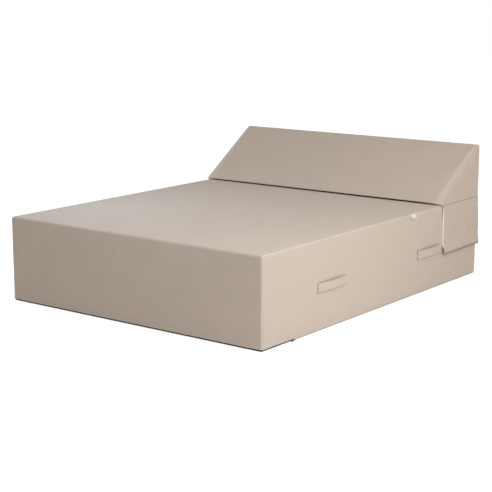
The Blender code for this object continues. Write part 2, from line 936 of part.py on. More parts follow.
def blank_tag():
    """A blank folded tag, caught in the top seam and hanging over the side."""
    centre = Vector((half_width - arris_radius, base_height - arris_radius))
    radius = arris_radius + gap
    steps = even(0.0, 1.0, tag_cells)
    places = [tag_place - tag_width / 2, tag_place + tag_width / 2]
    turn_share = 0.5

    def place(along, share):
        if share <= turn_share:
            point = centre + turn(seam_angle, 0.0, share / turn_share) * radius
        else:
            fall = (share - turn_share) / (1 - turn_share)
            point = centre + Vector((radius + tag_stand * ease(fall), -tag_drop * fall))
        return Vector((point.x, along, point.y))

    sheet("blank_tag", places, steps, place, tag_thickness, tag_finish, False)


clean_scene()
parts = new_collection("daybed_mattress")
cutters = new_collection("cutters")

base_foam()
base_liner()
base_wrap()
base_side("base_cover_side_right", 1)
base_side("base_cover_side_left", -1)
base_underside()
base_zip()
base_zip_hardware()
for end_label, reach in (("foot", -handle_reach), ("head", handle_reach)):
    handle("handle_right_" + end_label, 1, reach)
    handle("handle_left_" + end_label, -1, reach)
blank_tag()
wedge_fill()
wedge_wrap()
wedge_back_strip()
wedge_end("wedge_cover_end_right", 1)
wedge_end("wedge_cover_end_left", -1)
wedge_underside()
wedge_zip()
wedge_zip_hardware()
side_flap("skirt_flap_right", 1)
side_flap("skirt_flap_left", -1)
back_flap()
side_strips("right", 1)
side_strips("left", -1)
back_strips()
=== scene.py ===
# %% [markdown]
# # A daybed mattress with a wedge backrest
# The real object is a thick foam block in a fitted woven cover, with a foam wedge lying on its
# head end. Everything is hidden under cloth, so this lesson is mostly about cloth: firm panels
# that crown a little, seams that sink between two soft rolls, straps, flaps, strips and zips.
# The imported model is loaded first. It gives the place of each solid, and each soft solid is
# then replaced by a finer piece that fits the same space.

import math

import bmesh
import bpy
from mathutils import Matrix, Vector


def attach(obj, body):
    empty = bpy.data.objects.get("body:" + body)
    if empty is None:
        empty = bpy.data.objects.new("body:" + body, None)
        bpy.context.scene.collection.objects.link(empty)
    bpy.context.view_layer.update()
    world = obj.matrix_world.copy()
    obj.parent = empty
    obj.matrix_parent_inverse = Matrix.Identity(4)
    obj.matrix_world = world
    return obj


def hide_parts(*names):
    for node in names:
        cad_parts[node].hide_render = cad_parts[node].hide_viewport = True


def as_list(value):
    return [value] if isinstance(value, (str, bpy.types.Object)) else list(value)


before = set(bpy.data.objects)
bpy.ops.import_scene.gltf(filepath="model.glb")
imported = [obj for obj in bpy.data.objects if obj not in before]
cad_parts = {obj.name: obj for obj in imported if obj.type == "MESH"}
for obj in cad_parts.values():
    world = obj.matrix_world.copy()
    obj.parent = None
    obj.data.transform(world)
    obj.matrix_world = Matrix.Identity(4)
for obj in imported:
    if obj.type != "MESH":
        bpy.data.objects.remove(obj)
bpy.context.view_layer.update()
print("nodes loaded:", len(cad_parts))

# %% [markdown]
# ## Sizes
# The cover, its liner and the foam are layers over one rounded box, so a few sizes place them
# all. The base stands on the floor under the origin, with its foot end towards -Y. The wedge
# is a long triangle whose three edges are rounded by different radii.

# %% Sizes of the base, the wedge and their layers, in metres
MM = 0.001
BASE = Vector((1.580, 2.000, 0.435))
LOW = Vector((-BASE.x / 2, -BASE.y / 2, 0))
HIGH = Vector((BASE.x / 2, BASE.y / 2, BASE.z))
CLOTH = 1.5 * MM
LINER = 0.6 * MM
GAP = 0.3 * MM
ARRIS = 14 * MM
FOAM_ARRIS = 20 * MM
CROWN = 4 * MM
SEAM_GAP = 0.6 * MM
ZIP_END = LOW.y + 0.235
WEDGE_HALF = BASE.x / 2 + 3 * MM
WEDGE_BACK = BASE.y / 2 + 3 * MM
WEDGE_TIP = WEDGE_BACK - 0.441
WEDGE_SEAT = BASE.z + GAP
WEDGE_RISE = 0.296
CROWN_END = WEDGE_TIP - 3 * MM
print("base", tuple(BASE), "wedge from", round(WEDGE_TIP, 3), "to", round(WEDGE_BACK, 3))

# %% [markdown]
# ## The camera
# The photograph looks down a little at the corner between the foot end and the right side,
# from far away with a long lens, so its edges hardly converge. The place and the lens were
# worked out from the corners of the block in the photograph, with no shift.

# %% Add the camera
view = bpy.data.cameras.new("camera")
view.sensor_width = 36
view.lens = 93.2
camera = bpy.data.objects.new("camera", view)
camera.location = (3.984, -5.314, 1.579)
camera.rotation_euler = (math.radians(90 - 11.588), 0, math.radians(37.265))
bpy.context.scene.collection.objects.link(camera)
bpy.context.scene.camera = camera
print("camera lens", round(view.lens, 1), "mm")

# %% [markdown]
# ## Shader arithmetic
# A finish is a small tree of nodes. Written as plain sums it stays readable, so one class wraps
# the output of a node, and Python's own operators add the Math nodes. One method adds any
# other node. Numbers that don't change over the surface are set on the shader itself.

# %% A wire that can be added, multiplied and compared
class Wire:
    """The output of a node in one finish."""

    def __init__(self, finish, socket):
        self.finish = finish
        self.socket = socket

    def maths(self, operation, *values):
        return self.finish.node("Math", dict(enumerate(values)), operation=operation)

    def __add__(self, other):
        return self.maths("ADD", self, other)

    def __sub__(self, other):
        return self.maths("SUBTRACT", self, other)

    def __rsub__(self, other):
        return self.maths("SUBTRACT", other, self)

    def __mul__(self, other):
        return self.maths("MULTIPLY", self, other)

    __radd__ = __add__
    __rmul__ = __mul__

    def wave(self, length):
        """A sine wave of this wire with that length, between -1 and 1."""
        return self.maths("SINE", self * (math.tau / length))

    def size(self):
        return self.maths("ABSOLUTE", self)

    def between(self, low, high, soft):
        """1 between two values, fading over soft outside them."""
        middle, half = (low + high) / 2, (high - low) / 2
        return self.finish.fade((self - middle).size(), half + soft, half)

    def repeat(self, length):
        """Counts from 0 to length again and again."""
        return self.maths("FLOORED_MODULO", self, length)


class Finish:
    """A material and the nodes that feed its shader."""

    def __init__(self, name, **constants):
        self.material = bpy.data.materials.new(name)
        self.material.use_nodes = True
        self.tree = self.material.node_tree
        self.shader = self.tree.nodes["Principled BSDF"]
        for socket, value in constants.items():
            self.shader.inputs[socket.replace("_", " ").title()].default_value = value

    def node(self, kind, values=(), output=0, **settings):
        """Adds a node, with its settings first, and the values or wires of its sockets."""
        made = self.tree.nodes.new("ShaderNode" + kind)
        for setting, value in settings.items():
            setattr(made, setting, value)
        for socket, value in dict(values).items():
            self.join(made.inputs[socket], value)
        return Wire(self, made.outputs[output])

    def join(self, socket, value):
        if isinstance(value, Wire):
            self.tree.links.new(value.socket, socket)
        elif socket.type == "RGBA" and len(value) == 3:
            socket.default_value = (*value, 1.0)
        else:
            socket.default_value = value

    def set(self, socket, value):
        self.join(self.shader.inputs[socket], value)

    def cloth_place(self):
        """The piece's own map in metres, and its two directions apart."""
        place = self.node("UVMap", uv_map="cloth")
        across = self.node("SeparateXYZ", {0: place}, output=0)
        along = self.node("SeparateXYZ", {0: place}, output=1)
        return place, across, along

    def fade(self, value, low, high):
        """0 at low and 1 at high, smooth between; low may be the larger."""
        values = {"Value": value, "From Min": low, "From Max": high}
        return self.node("MapRange", values, interpolation_type="SMOOTHSTEP")

    def mix(self, share, first, second):
        """From the first colour at 0 to the second at 1."""
        return self.node("Mix", {0: share, 6: first, 7: second}, output=2, data_type="RGBA")

    def noise(self, place, scale, detail=2.0, roughness=0.5):
        values = {"Vector": place, "Scale": scale, "Detail": detail, "Roughness": roughness}
        return self.node("TexNoise", values)

    def stretched(self, place, scale):
        return self.node("Mapping", {"Vector": place, "Scale": scale})

    def bump(self, height, depth, strength=1.0):
        values = {"Height": height, "Distance": depth, "Strength": strength}
        self.set("Normal", self.node("Bump", values))


print("shader helpers are ready")

# %% [markdown]
# ## The woven cover cloth
# The cover is a plain-woven polyester canvas, beige with a trace of pink. Close up, threads
# pass over and under each other a millimetre apart. Here and there a thread runs on as a faint
# streak, and uneven yarn leaves short soft bars, as long as a finger. From a step away it is
# one even colour, slightly mottled, with a painted highlight along the sewn edges for the light
# on their rolls. The pattern follows the cloth, so it is laid on a UV map in metres. Two stored
# values mark where light and shade are painted: edge is 1 where a roll gets a painted highlight,
# and furrow is 1 where a seam or a bound edge gets a thin painted shadow. The two side panels
# look smoother, so their finish has half the grain.

# %% Make the cloth
CLOTH_COLOUR = (0.588, 0.490, 0.410)
LONG_WAY, FINE_WAY = 4.0, 420.0


def tinted(colour, share):
    return tuple(channel * share for channel in colour)


def painted_highlight_colour(colour, share):
    """The colour of a painted highlight: lighter by a share, and a little greyer."""
    grey = sum(colour) / 3
    return tuple(share * (0.7 * channel + 0.3 * grey) for channel in colour)


def woven(
    name, colour, thread=1.1 * MM, depth=0.35 * MM, highlight_lightness=1.22, sheen=0.12, grain=1.0, stitches=None
):
    """A plain weave with streaks, a painted highlight on a roll and a painted shadow in a furrow.
    """
    finish = Finish(name, roughness=0.85, sheen_weight=sheen, sheen_roughness=0.5)
    finish.set("Specular IOR Level", 4 * sheen)
    place, across, along = finish.cloth_place()
    weave = across.wave(2 * thread) * along.wave(2 * thread)
    streak = finish.noise(finish.stretched(place, (LONG_WAY, FINE_WAY, 1.0)), 1.0, 3.0)
    other_streak = finish.noise(finish.stretched(place, (FINE_WAY, LONG_WAY, 1.0)), 1.0, 3.0)
    mottle = finish.noise(place, 5.0, 4.0, 0.6)
    bars = finish.noise(finish.stretched(place, (14.0, 130.0, 1.0)), 1.0, 3.0, 0.6)
    shade = (streak - 0.5) * 0.5 + (other_streak - 0.5) * 0.35 + (mottle - 0.5) * 0.8
    shade = (shade + weave * 0.12 + (bars - 0.5) * 1.6) * grain + 0.5
    plain = finish.mix(shade, tinted(colour, 0.93), tinted(colour, 1.07))
    # The edge value mixes in a painted highlight, and the furrow value a painted shadow.
    edge = finish.node("Attribute", output=2, attribute_name="edge")
    furrow = finish.node("Attribute", output=2, attribute_name="furrow")
    rolled = finish.mix(edge, plain, painted_highlight_colour(colour, highlight_lightness))
    finish.set("Base Color", finish.mix(furrow, rolled, tinted(colour, 0.42)))
    height = weave * 0.5 + (streak + other_streak) * 0.8
    if stitches:
        height = stitches(finish, across, along, height)
    finish.bump(height, depth, 0.8)
    return finish


cover_cloth = woven("cover_cloth", CLOTH_COLOUR)
side_cloth = woven("side_cloth", CLOTH_COLOUR, grain=0.5, depth=0.2 * MM)
print("cloth made:", cover_cloth.material.name, len(cover_cloth.tree.nodes), "nodes")

# %% [markdown]
# ## Helpers for modelling by hand
# Each new piece starts as a primitive, with nothing else selected. Its edges and faces are then
# picked by where they lie, and an operator shapes them. These helpers do the picking.

# %% Add a block, pick parts of it, and divide it
def add_block(name, low, high):
    """A cube added at its size and place, with its size and place in its mesh."""
    bpy.ops.object.select_all(action="DESELECT")
    bpy.ops.mesh.primitive_cube_add(size=1.0, location=(low + high) / 2, scale=high - low)
    block = bpy.context.object
    block.name = name
    bpy.ops.object.transform_apply(location=True, rotation=True, scale=True)
    return block


def add_grid(name, columns, rows):
    """A flat grid of that many columns and rows of faces, one metre across."""
    bpy.ops.object.select_all(action="DESELECT")
    bpy.ops.mesh.primitive_grid_add(x_subdivisions=columns, y_subdivisions=rows, size=1.0)
    grid = bpy.context.object
    grid.name = name
    return grid


def work_on(piece, mode="EDIT"):
    """Selects only this piece and enters a mode with nothing in it picked."""
    if bpy.context.object and bpy.context.object.mode != "OBJECT":
        bpy.ops.object.mode_set(mode="OBJECT")
    bpy.ops.object.select_all(action="DESELECT")
    piece.select_set(True)
    bpy.context.view_layer.objects.active = piece
    bpy.ops.object.mode_set(mode=mode)
    if mode == "EDIT":
        bpy.ops.mesh.select_all(action="DESELECT")


def pick(piece, kind, wanted):
    """In edit mode, picks the verts, edges or faces that are wanted, and nothing else."""
    bpy.ops.mesh.select_mode(type=kind)
    bpy.ops.mesh.select_all(action="DESELECT")
    bm = bmesh.from_edit_mesh(piece.data)
    for item in {"VERT": bm.verts, "EDGE": bm.edges, "FACE": bm.faces}[kind]:
        if wanted(item):
            item.select_set(True)
    bmesh.update_edit_mesh(piece.data)


def edge_runs(edge, axis, at_least):
    """Whether an edge is long and runs along an axis."""
    span = edge.verts[1].co - edge.verts[0].co
    return span.length > at_least and abs(span[axis]) > 0.99 * span.length


def divide(piece, axis, cuts, at_least):
    """Cuts the long edges that run along an axis, which lays a row of loops round the piece."""
    pick(piece, "EDGE", lambda edge: edge_runs(edge, axis, at_least))
    bpy.ops.mesh.subdivide(number_cuts=cuts)


def slice_at(piece, place, normal, clear_outer=False):
    """Cuts right through a piece with a plane, and closes it if one side goes."""
    bpy.ops.mesh.select_all(action="SELECT")
    bpy.ops.mesh.bisect(
        plane_co=place, plane_no=normal, clear_outer=clear_outer, use_fill=clear_outer
    )


def open_up(piece, wanted):
    """In edit mode, deletes the wanted faces, and then leaves that mode."""
    pick(piece, "FACE", wanted)
    bpy.ops.mesh.delete(type="FACE")
    bpy.ops.object.mode_set(mode="OBJECT")


def part_off(piece, name, wanted):
    """Cuts the wanted faces of a piece off along its seams, as a new piece."""
    work_on(piece)
    pick(piece, "FACE", wanted)
    bpy.ops.mesh.separate(type="SELECTED")
    bpy.ops.object.mode_set(mode="OBJECT")
    panel = next(item for item in bpy.context.selected_objects if item is not piece)
    panel.name = name
    return panel


print("modelling helpers are ready")

# %% [markdown]
# ## A rounded block in even squares
# The cover's base is a box with soft edges of 14 mm. A bevel of an even number of steps puts a
# loop of vertices in the very middle of each edge, which is where the real seams run. Long
# edges are then divided, so that the flat faces have squares about as wide as a hand is thick,
# fine enough to crown.

# %% Make a softened block, and the base's rounded one
def soft_block(name, low, high, radius, segments, cuts):
    """A block with softened edges. Each of cuts is an axis, how many, and the shortest edge cut."""
    block = add_block(name, low, high)
    work_on(block)
    bpy.ops.mesh.select_all(action="SELECT")
    bpy.ops.mesh.bevel(offset=radius, segments=segments, affect="EDGES")
    for axis, count, at_least in cuts:
        divide(block, axis, count, at_least)
    bpy.ops.object.mode_set(mode="OBJECT")
    return block


def rounded_block(name, depth, radius, steps, cells):
    """The base's box sunk by depth, with edges rounded by radius, divided into squares."""
    inset = Vector((depth, depth, depth))
    cuts = [(axis, count - 1, 0.2) for axis, count in enumerate(cells)]
    return soft_block(name, LOW + inset, HIGH - inset, radius, steps, cuts)


COVER_CELLS = (56, 70, 15)
cover = rounded_block("cover", 0.0, ARRIS, 8, COVER_CELLS)
print("cover shell:", len(cover.data.polygons), "faces")

# %% [markdown]
# ## Filling the cover by simulation
# Firm foam presses each panel of the cover out by a few millimetres, nearly evenly, while the
# seams hold its edges. Cloth simulation with a little pressure gives that swelling. The rounded
# edges, the bottom and the strip under the wedge are held, and each point may only move out
# by the few millimetres that the foam has, so the panels keep clear of what is sewn on them.

# %% How far each panel may swell
PRESSURE, FIRMNESS = 4.0, 20.0
LAST_STEP = 20


def swell(value, low=0.0, high=1.0):
    """1 over most of a span and 0 at its ends and beyond."""
    share = (2 * value - low - high) / (high - low)
    return max(0.0, 1.0 - share ** 4)


def base_crown(point):
    """The most that a point of the base's box may move out, as a vector."""
    low = LOW + Vector((FOAM_ARRIS, FOAM_ARRIS, FOAM_ARRIS))
    high = HIGH - Vector((FOAM_ARRIS, FOAM_ARRIS, FOAM_ARRIS))
    across = swell(point.x, low.x, high.x)
    along = swell(point.y, low.y, high.y)
    up = swell(point.z, low.z, high.z)
    top_along = swell(point.y, low.y, CROWN_END) if point.y < CROWN_END else 0.0
    push = Vector((0, 0, 0))
    if abs(point.x) > HIGH.x - 0.1 * MM:
        push.x = math.copysign(CROWN * along * up, point.x)
    if abs(point.y) > HIGH.y - 0.1 * MM:
        push.y = math.copysign(CROWN * across * up, point.y)
    if point.z > HIGH.z - 0.1 * MM:
        push.z = CROWN * across * top_along
    return push


def fill_out(form, limit):
    """Swells a form by cloth simulation, each vertex no further than limit(place)."""
    limits = [limit(vert.co) for vert in form.data.vertices]
    rest = [vert.co.copy() for vert in form.data.vertices]
    held = form.vertex_groups.new(name="held")
    held.add([n for n, most in enumerate(limits) if most.length < 0.05 * MM], 1.0, "REPLACE")
    moved = rest
    work_on(form, "OBJECT")
    cloth = form.modifiers.new("filling", "CLOTH")
    cloth.settings.vertex_group_mass = "held"
    cloth.settings.use_pressure = True
    cloth.settings.uniform_pressure_force = PRESSURE
    cloth.settings.quality = 4
    cloth.settings.tension_stiffness = FIRMNESS
    cloth.settings.compression_stiffness = FIRMNESS
    cloth.settings.effector_weights.gravity = 0.0
    cloth.point_cache.frame_start = 1
    cloth.point_cache.frame_end = LAST_STEP
    for step in range(1, LAST_STEP + 1):
        bpy.context.scene.frame_set(step)
    seen = form.evaluated_get(bpy.context.evaluated_depsgraph_get())
    moved = [vert.co.copy() for vert in seen.data.vertices]
    form.modifiers.remove(cloth)
    bpy.context.scene.frame_set(1)
    for n, vert in enumerate(form.data.vertices):
        most = limits[n].length
        if most == 0:
            continue
        outwards = limits[n] / most
        push = (moved[n] - rest[n]).dot(outwards)
        vert.co = rest[n] + outwards * min(most, max(0.0, push))
    form.data.update()
    return max((vert.co - rest[n]).length for n, vert in enumerate(form.data.vertices))


print("cover swells by", round(fill_out(cover, base_crown) / MM, 2), "mm at most")

# %% [markdown]
# ## Cutting the cover along its seams
# One long cloth wraps the foot end, the top and the head end, a panel closes each side, and a
# dark hard-wearing panel lies underneath. A zip runs round the foot end's bottom edge, so a slot
# is left open there for its teeth. Each face belongs to the panel that it faces most.

# %% Cut the panels
LIP = 10.66 * MM


def faces_most(face, axis, side=0):
    """Whether a face looks mostly along an axis, to one side of it if side isn't 0."""
    normal = face.normal
    largest = max(abs(normal.x), abs(normal.y), abs(normal.z))
    return abs(normal[axis]) > largest - 1e-4 and (side == 0 or normal[axis] * side > 0)


def in_zip_slot(face):
    middle = face.calc_center_median()
    return middle.y < ZIP_END and middle.z < LIP and not faces_most(face, 2)


work_on(cover)
slice_at(cover, (0, ZIP_END, 0), (0, 1, 0))
slice_at(cover, (0, 0, LIP), (0, 0, 1))
open_up(cover, in_zip_slot)
side_right = part_off(cover, "cover_side_right", lambda face: faces_most(face, 0, 1))
side_left = part_off(cover, "cover_side_left", lambda face: faces_most(face, 0, -1))
underside = part_off(cover, "cover_underside", lambda face: faces_most(face, 2, -1))
cover.name = "cover_top_and_ends"

# Along the foot end, where no slider passes, the lip stands a little proud and shades the teeth.
LIP_PROUD = 1.5 * MM
LIP_TURN, NEXT_TURN = math.radians(11), math.radians(6)
for vert in cover.data.vertices:
    below = ARRIS - vert.co.z
    if vert.co.y < LOW.y + ARRIS and below > 0.5 * MM:
        share = min(1.0, max(0.0, (HIGH.x - ARRIS - abs(vert.co.x)) / (25 * MM)))
        angle = math.asin(min(1.0, below / ARRIS))
        angle += ((LIP_TURN if vert.co.z < LIP + 0.1 * MM else NEXT_TURN) - angle) * share
        radius = ARRIS + LIP_PROUD * share
        vert.co.y = LOW.y + ARRIS - radius * math.cos(angle)
        vert.co.z = ARRIS - radius * math.sin(angle)
print("panels:", cover.name, side_right.name, side_left.name, underside.name)

# %% [markdown]
# ## Seams, thickness and the cloth's own map
# Where two panels are sewn, their edges turn in and leave a fine groove between two soft rolls.
# So the rim of each panel sinks a little and draws back, and the loop beside it rises. The
# panel then gets its thickness inwards. Last, each corner of each face is given its place on
# the flat cloth, which carries the weave round the edges without stretching it.

# %% Shape the rim, thicken the panel, and lay the map
def shape_rim(panel, sink, roll, draw=SEAM_GAP / 2, keep=None):
    """Sinks a panel's open rim into its seam, lifts the loop beside it, and marks a painted
    highlight.
    """
    bm = bmesh.new()
    bm.from_mesh(panel.data)
    bm.normal_update()
    # The edge layer marks a painted highlight: full on the rim, weaker on the loop beside it.
    edge = bm.verts.layers.float.new("edge")
    rim = {vert for vert in bm.verts if vert.is_boundary}
    beside = {other for vert in rim for e in vert.link_edges for other in e.verts} - rim
    place = {}
    for vert in rim:
        vert[edge] = 1.0
        spot = vert.co
        inwards = sum((face.calc_center_median() - spot for face in vert.link_faces), Vector())
        inwards = (inwards - vert.normal * inwards.dot(vert.normal)).normalized()
        ways = [e.other_vert(vert).co - spot for e in vert.link_edges if e.is_boundary]
        run = sum(ways[1:], -ways[0])
        if run.length > 1e-6:
            run.normalize()
            inwards = (inwards - run * inwards.dot(run)).normalized()
        depth = 0.0 if keep and keep(spot) else sink
        place[vert] = spot + inwards * draw - vert.normal * depth
    for vert in beside:
        vert[edge] = 0.55
        lift = 0.0 if keep and keep(vert.co) else roll
        place[vert] = vert.co + vert.normal * lift
    for vert, spot in place.items():
        vert.co = spot
    bm.to_mesh(panel.data)
    bm.free()


def thicken(panel, thickness, offset=-1.0, group=""):
    """Makes a wall inwards, or outwards with an offset of 1, thinned by the group's weights."""
    work_on(panel, "OBJECT")
    wall = panel.modifiers.new("thickness", "SOLIDIFY")
    wall.thickness = thickness
    wall.offset = offset
    wall.vertex_group = group
    bpy.ops.object.modifier_apply(modifier=wall.name)


def lay_places(piece, places):
    """Gives each vertex, and each corner of a face there, its place on the flat cloth in metres."""
    layer = piece.data.uv_layers.get("cloth") or piece.data.uv_layers.new(name="cloth")
    piece.data.uv_layers.active = layer
    for loop in piece.data.loops:
        layer.data[loop.index].uv = places[loop.vertex_index]


def lay_map(piece, flat):
    """The same, where that place follows from each vertex's own place."""
    lay_places(piece, [flat(vert.co) for vert in piece.data.vertices])


def lay_values(piece, name, values):
    """Stores a value between 0 and 1 at each vertex."""
    piece.data.attributes.new(name, "FLOAT", "POINT").data.foreach_set("value", values)


def mark(piece, name, share):
    """Stores a value that follows from each vertex's place."""
    lay_values(piece, name, [share(vert.co) for vert in piece.data.vertices])


def smooth(piece, degrees=35.0):
    work_on(piece, "OBJECT")
    bpy.ops.object.shade_smooth_by_angle(angle=math.radians(degrees))


def wrap_flat(spot):
    """The wrap's own run: over the top, then on down the foot and head ends."""
    down = max(0.0, BASE.z - spot.z)
    return (spot.x, spot.y + math.copysign(down, spot.y))


def side_flat(spot):
    """The side's cloth is turned, so that its bars stand upright."""
    return (spot.z, spot.y)


def floor_flat(spot):
    return (spot.x, spot.y)


def keep_piece(piece, body, slot, node, finish):
    """Gives a finished piece its material and its body, and hides the solid that it stands for."""
    piece.data.materials.clear()
    piece.data.materials.append(finish.material)
    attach(piece, body)
    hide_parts(node)


def keep_sheet(piece, body, slot, node, finish, flat, rests_on, held="stretched", **more):
    """The same for a sheet of cloth. The size it was cut to and what carries it are not used."""
    keep_piece(piece, body, slot, node, finish)
    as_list(rests_on)


SEAM_SINK, SEAM_ROLL = 1.2 * MM, 0.5 * MM


def by_zip(spot):
    return spot.y < ZIP_END + 5 * MM and spot.z < ARRIS


for panel in (cover, side_right, side_left, underside):
    shape_rim(panel, SEAM_SINK, SEAM_ROLL, keep=by_zip)
    thicken(panel, CLOTH)
    smooth(panel)
lay_map(cover, wrap_flat)
lay_map(side_right, side_flat)
lay_map(side_left, side_flat)
lay_map(underside, floor_flat)
print("wrap has", len(cover.data.polygons), "faces")

# %% Hand the base's panels over
UNDER_COLOUR = (0.062, 0.051, 0.043)
underside_cloth = woven("underside_cloth", UNDER_COLOUR, thread=0.9 * MM, highlight_lightness=1.4, sheen=0.02)
for panel, slot, node, finish, flat, under in (
    (cover, "cover_cloth", "wrap", cover_cloth, (1.57, 2.85), "base_foam_topper"),
    (side_right, "cover_cloth", "side_right", side_cloth, (0.43, 1.99), "base_foam_upper"),
    (side_left, "cover_cloth", "side_left", side_cloth, (0.43, 1.99), "base_foam_upper"),
    (underside, "underside_cloth", "underside", underside_cloth, (1.57, 1.99), "base_foam_lower"),
):
    keep_sheet(panel, "base", slot, "base_cover_" + node, finish, flat, [under])
print("base cover is handed over")

# %% [markdown]
# ## The wedge
# The wedge's section is a right triangle with a long slope. Its front edge, its ridge and its
# two ends have three different radii, and the bevel tool makes a poor corner where these meet.
# So a flat grid is added instead, and its rows and columns are moved onto the wedge: columns
# follow the section from the front's bottom to the heel, rows run from end to end. The foam's
# ends are cut soft, so the cloth turns onto them in a wide flattened roll.

# %% Places round the wedge's section
FRONT_RADIUS = 9 * MM
RIDGE_RADIUS = 12 * MM
END_RADIUS = 8.5 * MM
END_REACH = 16 * MM
CORE = WEDGE_HALF - END_REACH
SLOPE = math.atan2(WEDGE_RISE, WEDGE_BACK - WEDGE_TIP)
ZIP_MIDDLE = WEDGE_SEAT + 50 * MM
ZIP_LIP = 3 * MM + 1.4 * MM
FRONT_STEPS, SLOPE_STEPS, RIDGE_STEPS, BACK_STEPS = 12, 22, 8, 10


def arc_middle(corner, first, second, radius):
    half = math.acos(first.dot(second)) / 2
    return corner + (first + second).normalized() * (radius / math.sin(half))


def heading(angle):
    return Vector((math.cos(angle), math.sin(angle)))


def section_places():
    """Each place is the middle of its arc, the arc's radius, and the way out."""
    tip = Vector((WEDGE_TIP, WEDGE_SEAT))
    ridge = Vector((WEDGE_BACK, WEDGE_SEAT + WEDGE_RISE))
    up = (ridge - tip).normalized()
    front = arc_middle(tip, up, Vector((1, 0)), FRONT_RADIUS)
    top = arc_middle(ridge, -up, Vector((0, -1)), RIDGE_RADIUS)
    down, out = 1.5 * math.pi, SLOPE + math.pi / 2
    places = []
    for step in range(FRONT_STEPS + 1):
        places.append((front, FRONT_RADIUS, heading(down + (out - down) * step / FRONT_STEPS)))
    for step in range(1, SLOPE_STEPS):
        share = step / SLOPE_STEPS
        radius = FRONT_RADIUS + (RIDGE_RADIUS - FRONT_RADIUS) * share
        places.append((front.lerp(top, share), radius, heading(out)))
    for step in range(RIDGE_STEPS + 1):
        places.append((top, RIDGE_RADIUS, heading(out * (1 - step / RIDGE_STEPS))))
    lip = Vector((top.x, ZIP_MIDDLE + ZIP_LIP))
    backs = [top.lerp(lip, step / BACK_STEPS) for step in range(1, BACK_STEPS + 1)]
    for height in (ZIP_MIDDLE - ZIP_LIP, (ZIP_MIDDLE - ZIP_LIP + WEDGE_SEAT) / 2, WEDGE_SEAT):
        backs.append(Vector((top.x, height)))
    return places + [(middle, RIDGE_RADIUS, heading(0.0)) for middle in backs]


def shares_round(places):
    """How far round the section each place lies, from 0 at the front's bottom to 1 at the heel."""
    spots = [middle + out * radius for middle, radius, out in places]
    run = [0.0]
    for first, second in zip(spots, spots[1:]):
        run.append(run[-1] + (second - first).length)
    return [length / run[-1] for length in run]


SECTION = section_places()
SHARES = shares_round(SECTION)
HEEL = len(SECTION) - 1
print("places round the section:", len(SECTION))

# %% Lay a grid over the wedge
BACK_ROOM, END_ROOM = 1.1 * MM, 0.3 * MM
NEAR_END = (0.0, 6 * MM, 13 * MM, 21 * MM)
SPACED_HALF = CORE - 30 * MM
SPACED = [SPACED_HALF - 2 * SPACED_HALF * step / 54 for step in range(55)]
PLACES = [CORE - near for near in NEAR_END] + SPACED + [near - CORE for near in reversed(NEAR_END)]
RUN = [("run", -place) for place in PLACES]
ARC = [("arc", step * math.pi / 16) for step in range(1, 9)]
END = [("end", share) for share in (0.94, 0.88, 0.8, 0.7, 0.6, 0.5, 0.4, 0.3, 0.2, 0.1)]
END += [("low", 2.5 * MM), ("end", 0.0)]


def wedge_place(row, column, side, depth):
    """Where a row and column of the grid lie on the wedge, at a depth under its cloth.
    What lies under the cloth also keeps a little room behind the zip and at the ends."""
    middle, radius, out = SECTION[column]
    room = BACK_ROOM if depth and out.x > 0.9 else 0.0
    spot = middle + out * (radius - depth) - Vector((max(out.x, 0.0) * room, 0))
    if column == HEEL:
        spot.y += depth
    kind, amount = row
    if kind == "run":
        return Vector((amount, spot.x, spot.y))
    level = Vector((out.x, max(out.y, 0.0)))
    turn_radius = END_RADIUS - depth
    reach = END_REACH - depth - (END_ROOM if depth else 0.0)
    if kind == "arc":
        spot = spot - level * turn_radius * (1 - math.cos(amount))
        return Vector((side * (CORE + reach * math.sin(amount)), spot.x, spot.y))
    spot = spot - level * turn_radius
    front, back = SECTION[0][0].x, WEDGE_BACK - END_RADIUS - (BACK_ROOM if depth else 0.0)
    foot = Vector((front + (back - front) * SHARES[column], WEDGE_SEAT + depth))
    if kind == "low":
        amount = min(0.05, amount / max(MM, (spot - foot).length))
    spot = foot.lerp(spot, amount)
    return Vector((side * (CORE + reach), spot.x, spot.y))


def wedge_skin(name, depth=0.0):
    """The wedge's whole skin at a depth, ends and all, open underneath."""
    rows = [(row, -1) for row in reversed(ARC + END)] + [(row, 1) for row in RUN + ARC + END]
    skin = add_grid(name, HEEL, len(rows) - 1)
    for vert in skin.data.vertices:
        column = round((vert.co.x + 0.5) * HEEL)
        row, side = rows[round((vert.co.y + 0.5) * (len(rows) - 1))]
        vert.co = wedge_place(row, column, side, depth)
    work_on(skin)
    bpy.ops.mesh.select_all(action="SELECT")
    bpy.ops.mesh.remove_doubles(threshold=0.01 * MM)
    bpy.ops.mesh.normals_make_consistent(inside=False)
    bpy.ops.object.mode_set(mode="OBJECT")
    if sum(p.normal.z * p.area for p in skin.data.polygons) < 0:
        skin.data.flip_normals()
    return skin


wedge = wedge_skin("wedge_skin")
print("wedge skin:", len(wedge.data.polygons), "faces")

# %% [markdown]
# The slope, the back and the two ends swell as the base's panels do, and for the same reason.
# The limit is found from where a point lies on the flat triangle.

# %% Fill the wedge out
FRONT_MIDDLE = SECTION[FRONT_STEPS][0]
TOP_MIDDLE = SECTION[FRONT_STEPS + SLOPE_STEPS][0]
END_CROWN, BACK_CROWN, SLOPE_CROWN = 4 * MM, 3 * MM, 5 * MM
END_SOFT, FOOT_SOFT = 90 * MM, 250 * MM


def ease(share):
    share = min(1.0, max(0.0, share))
    return share * share * (3 - 2 * share)


def dome(distance, reach):
    """0 at an edge, rising to 1 at the reach and beyond."""
    return 1 - (1 - min(1.0, max(0.0, distance / reach))) ** 2


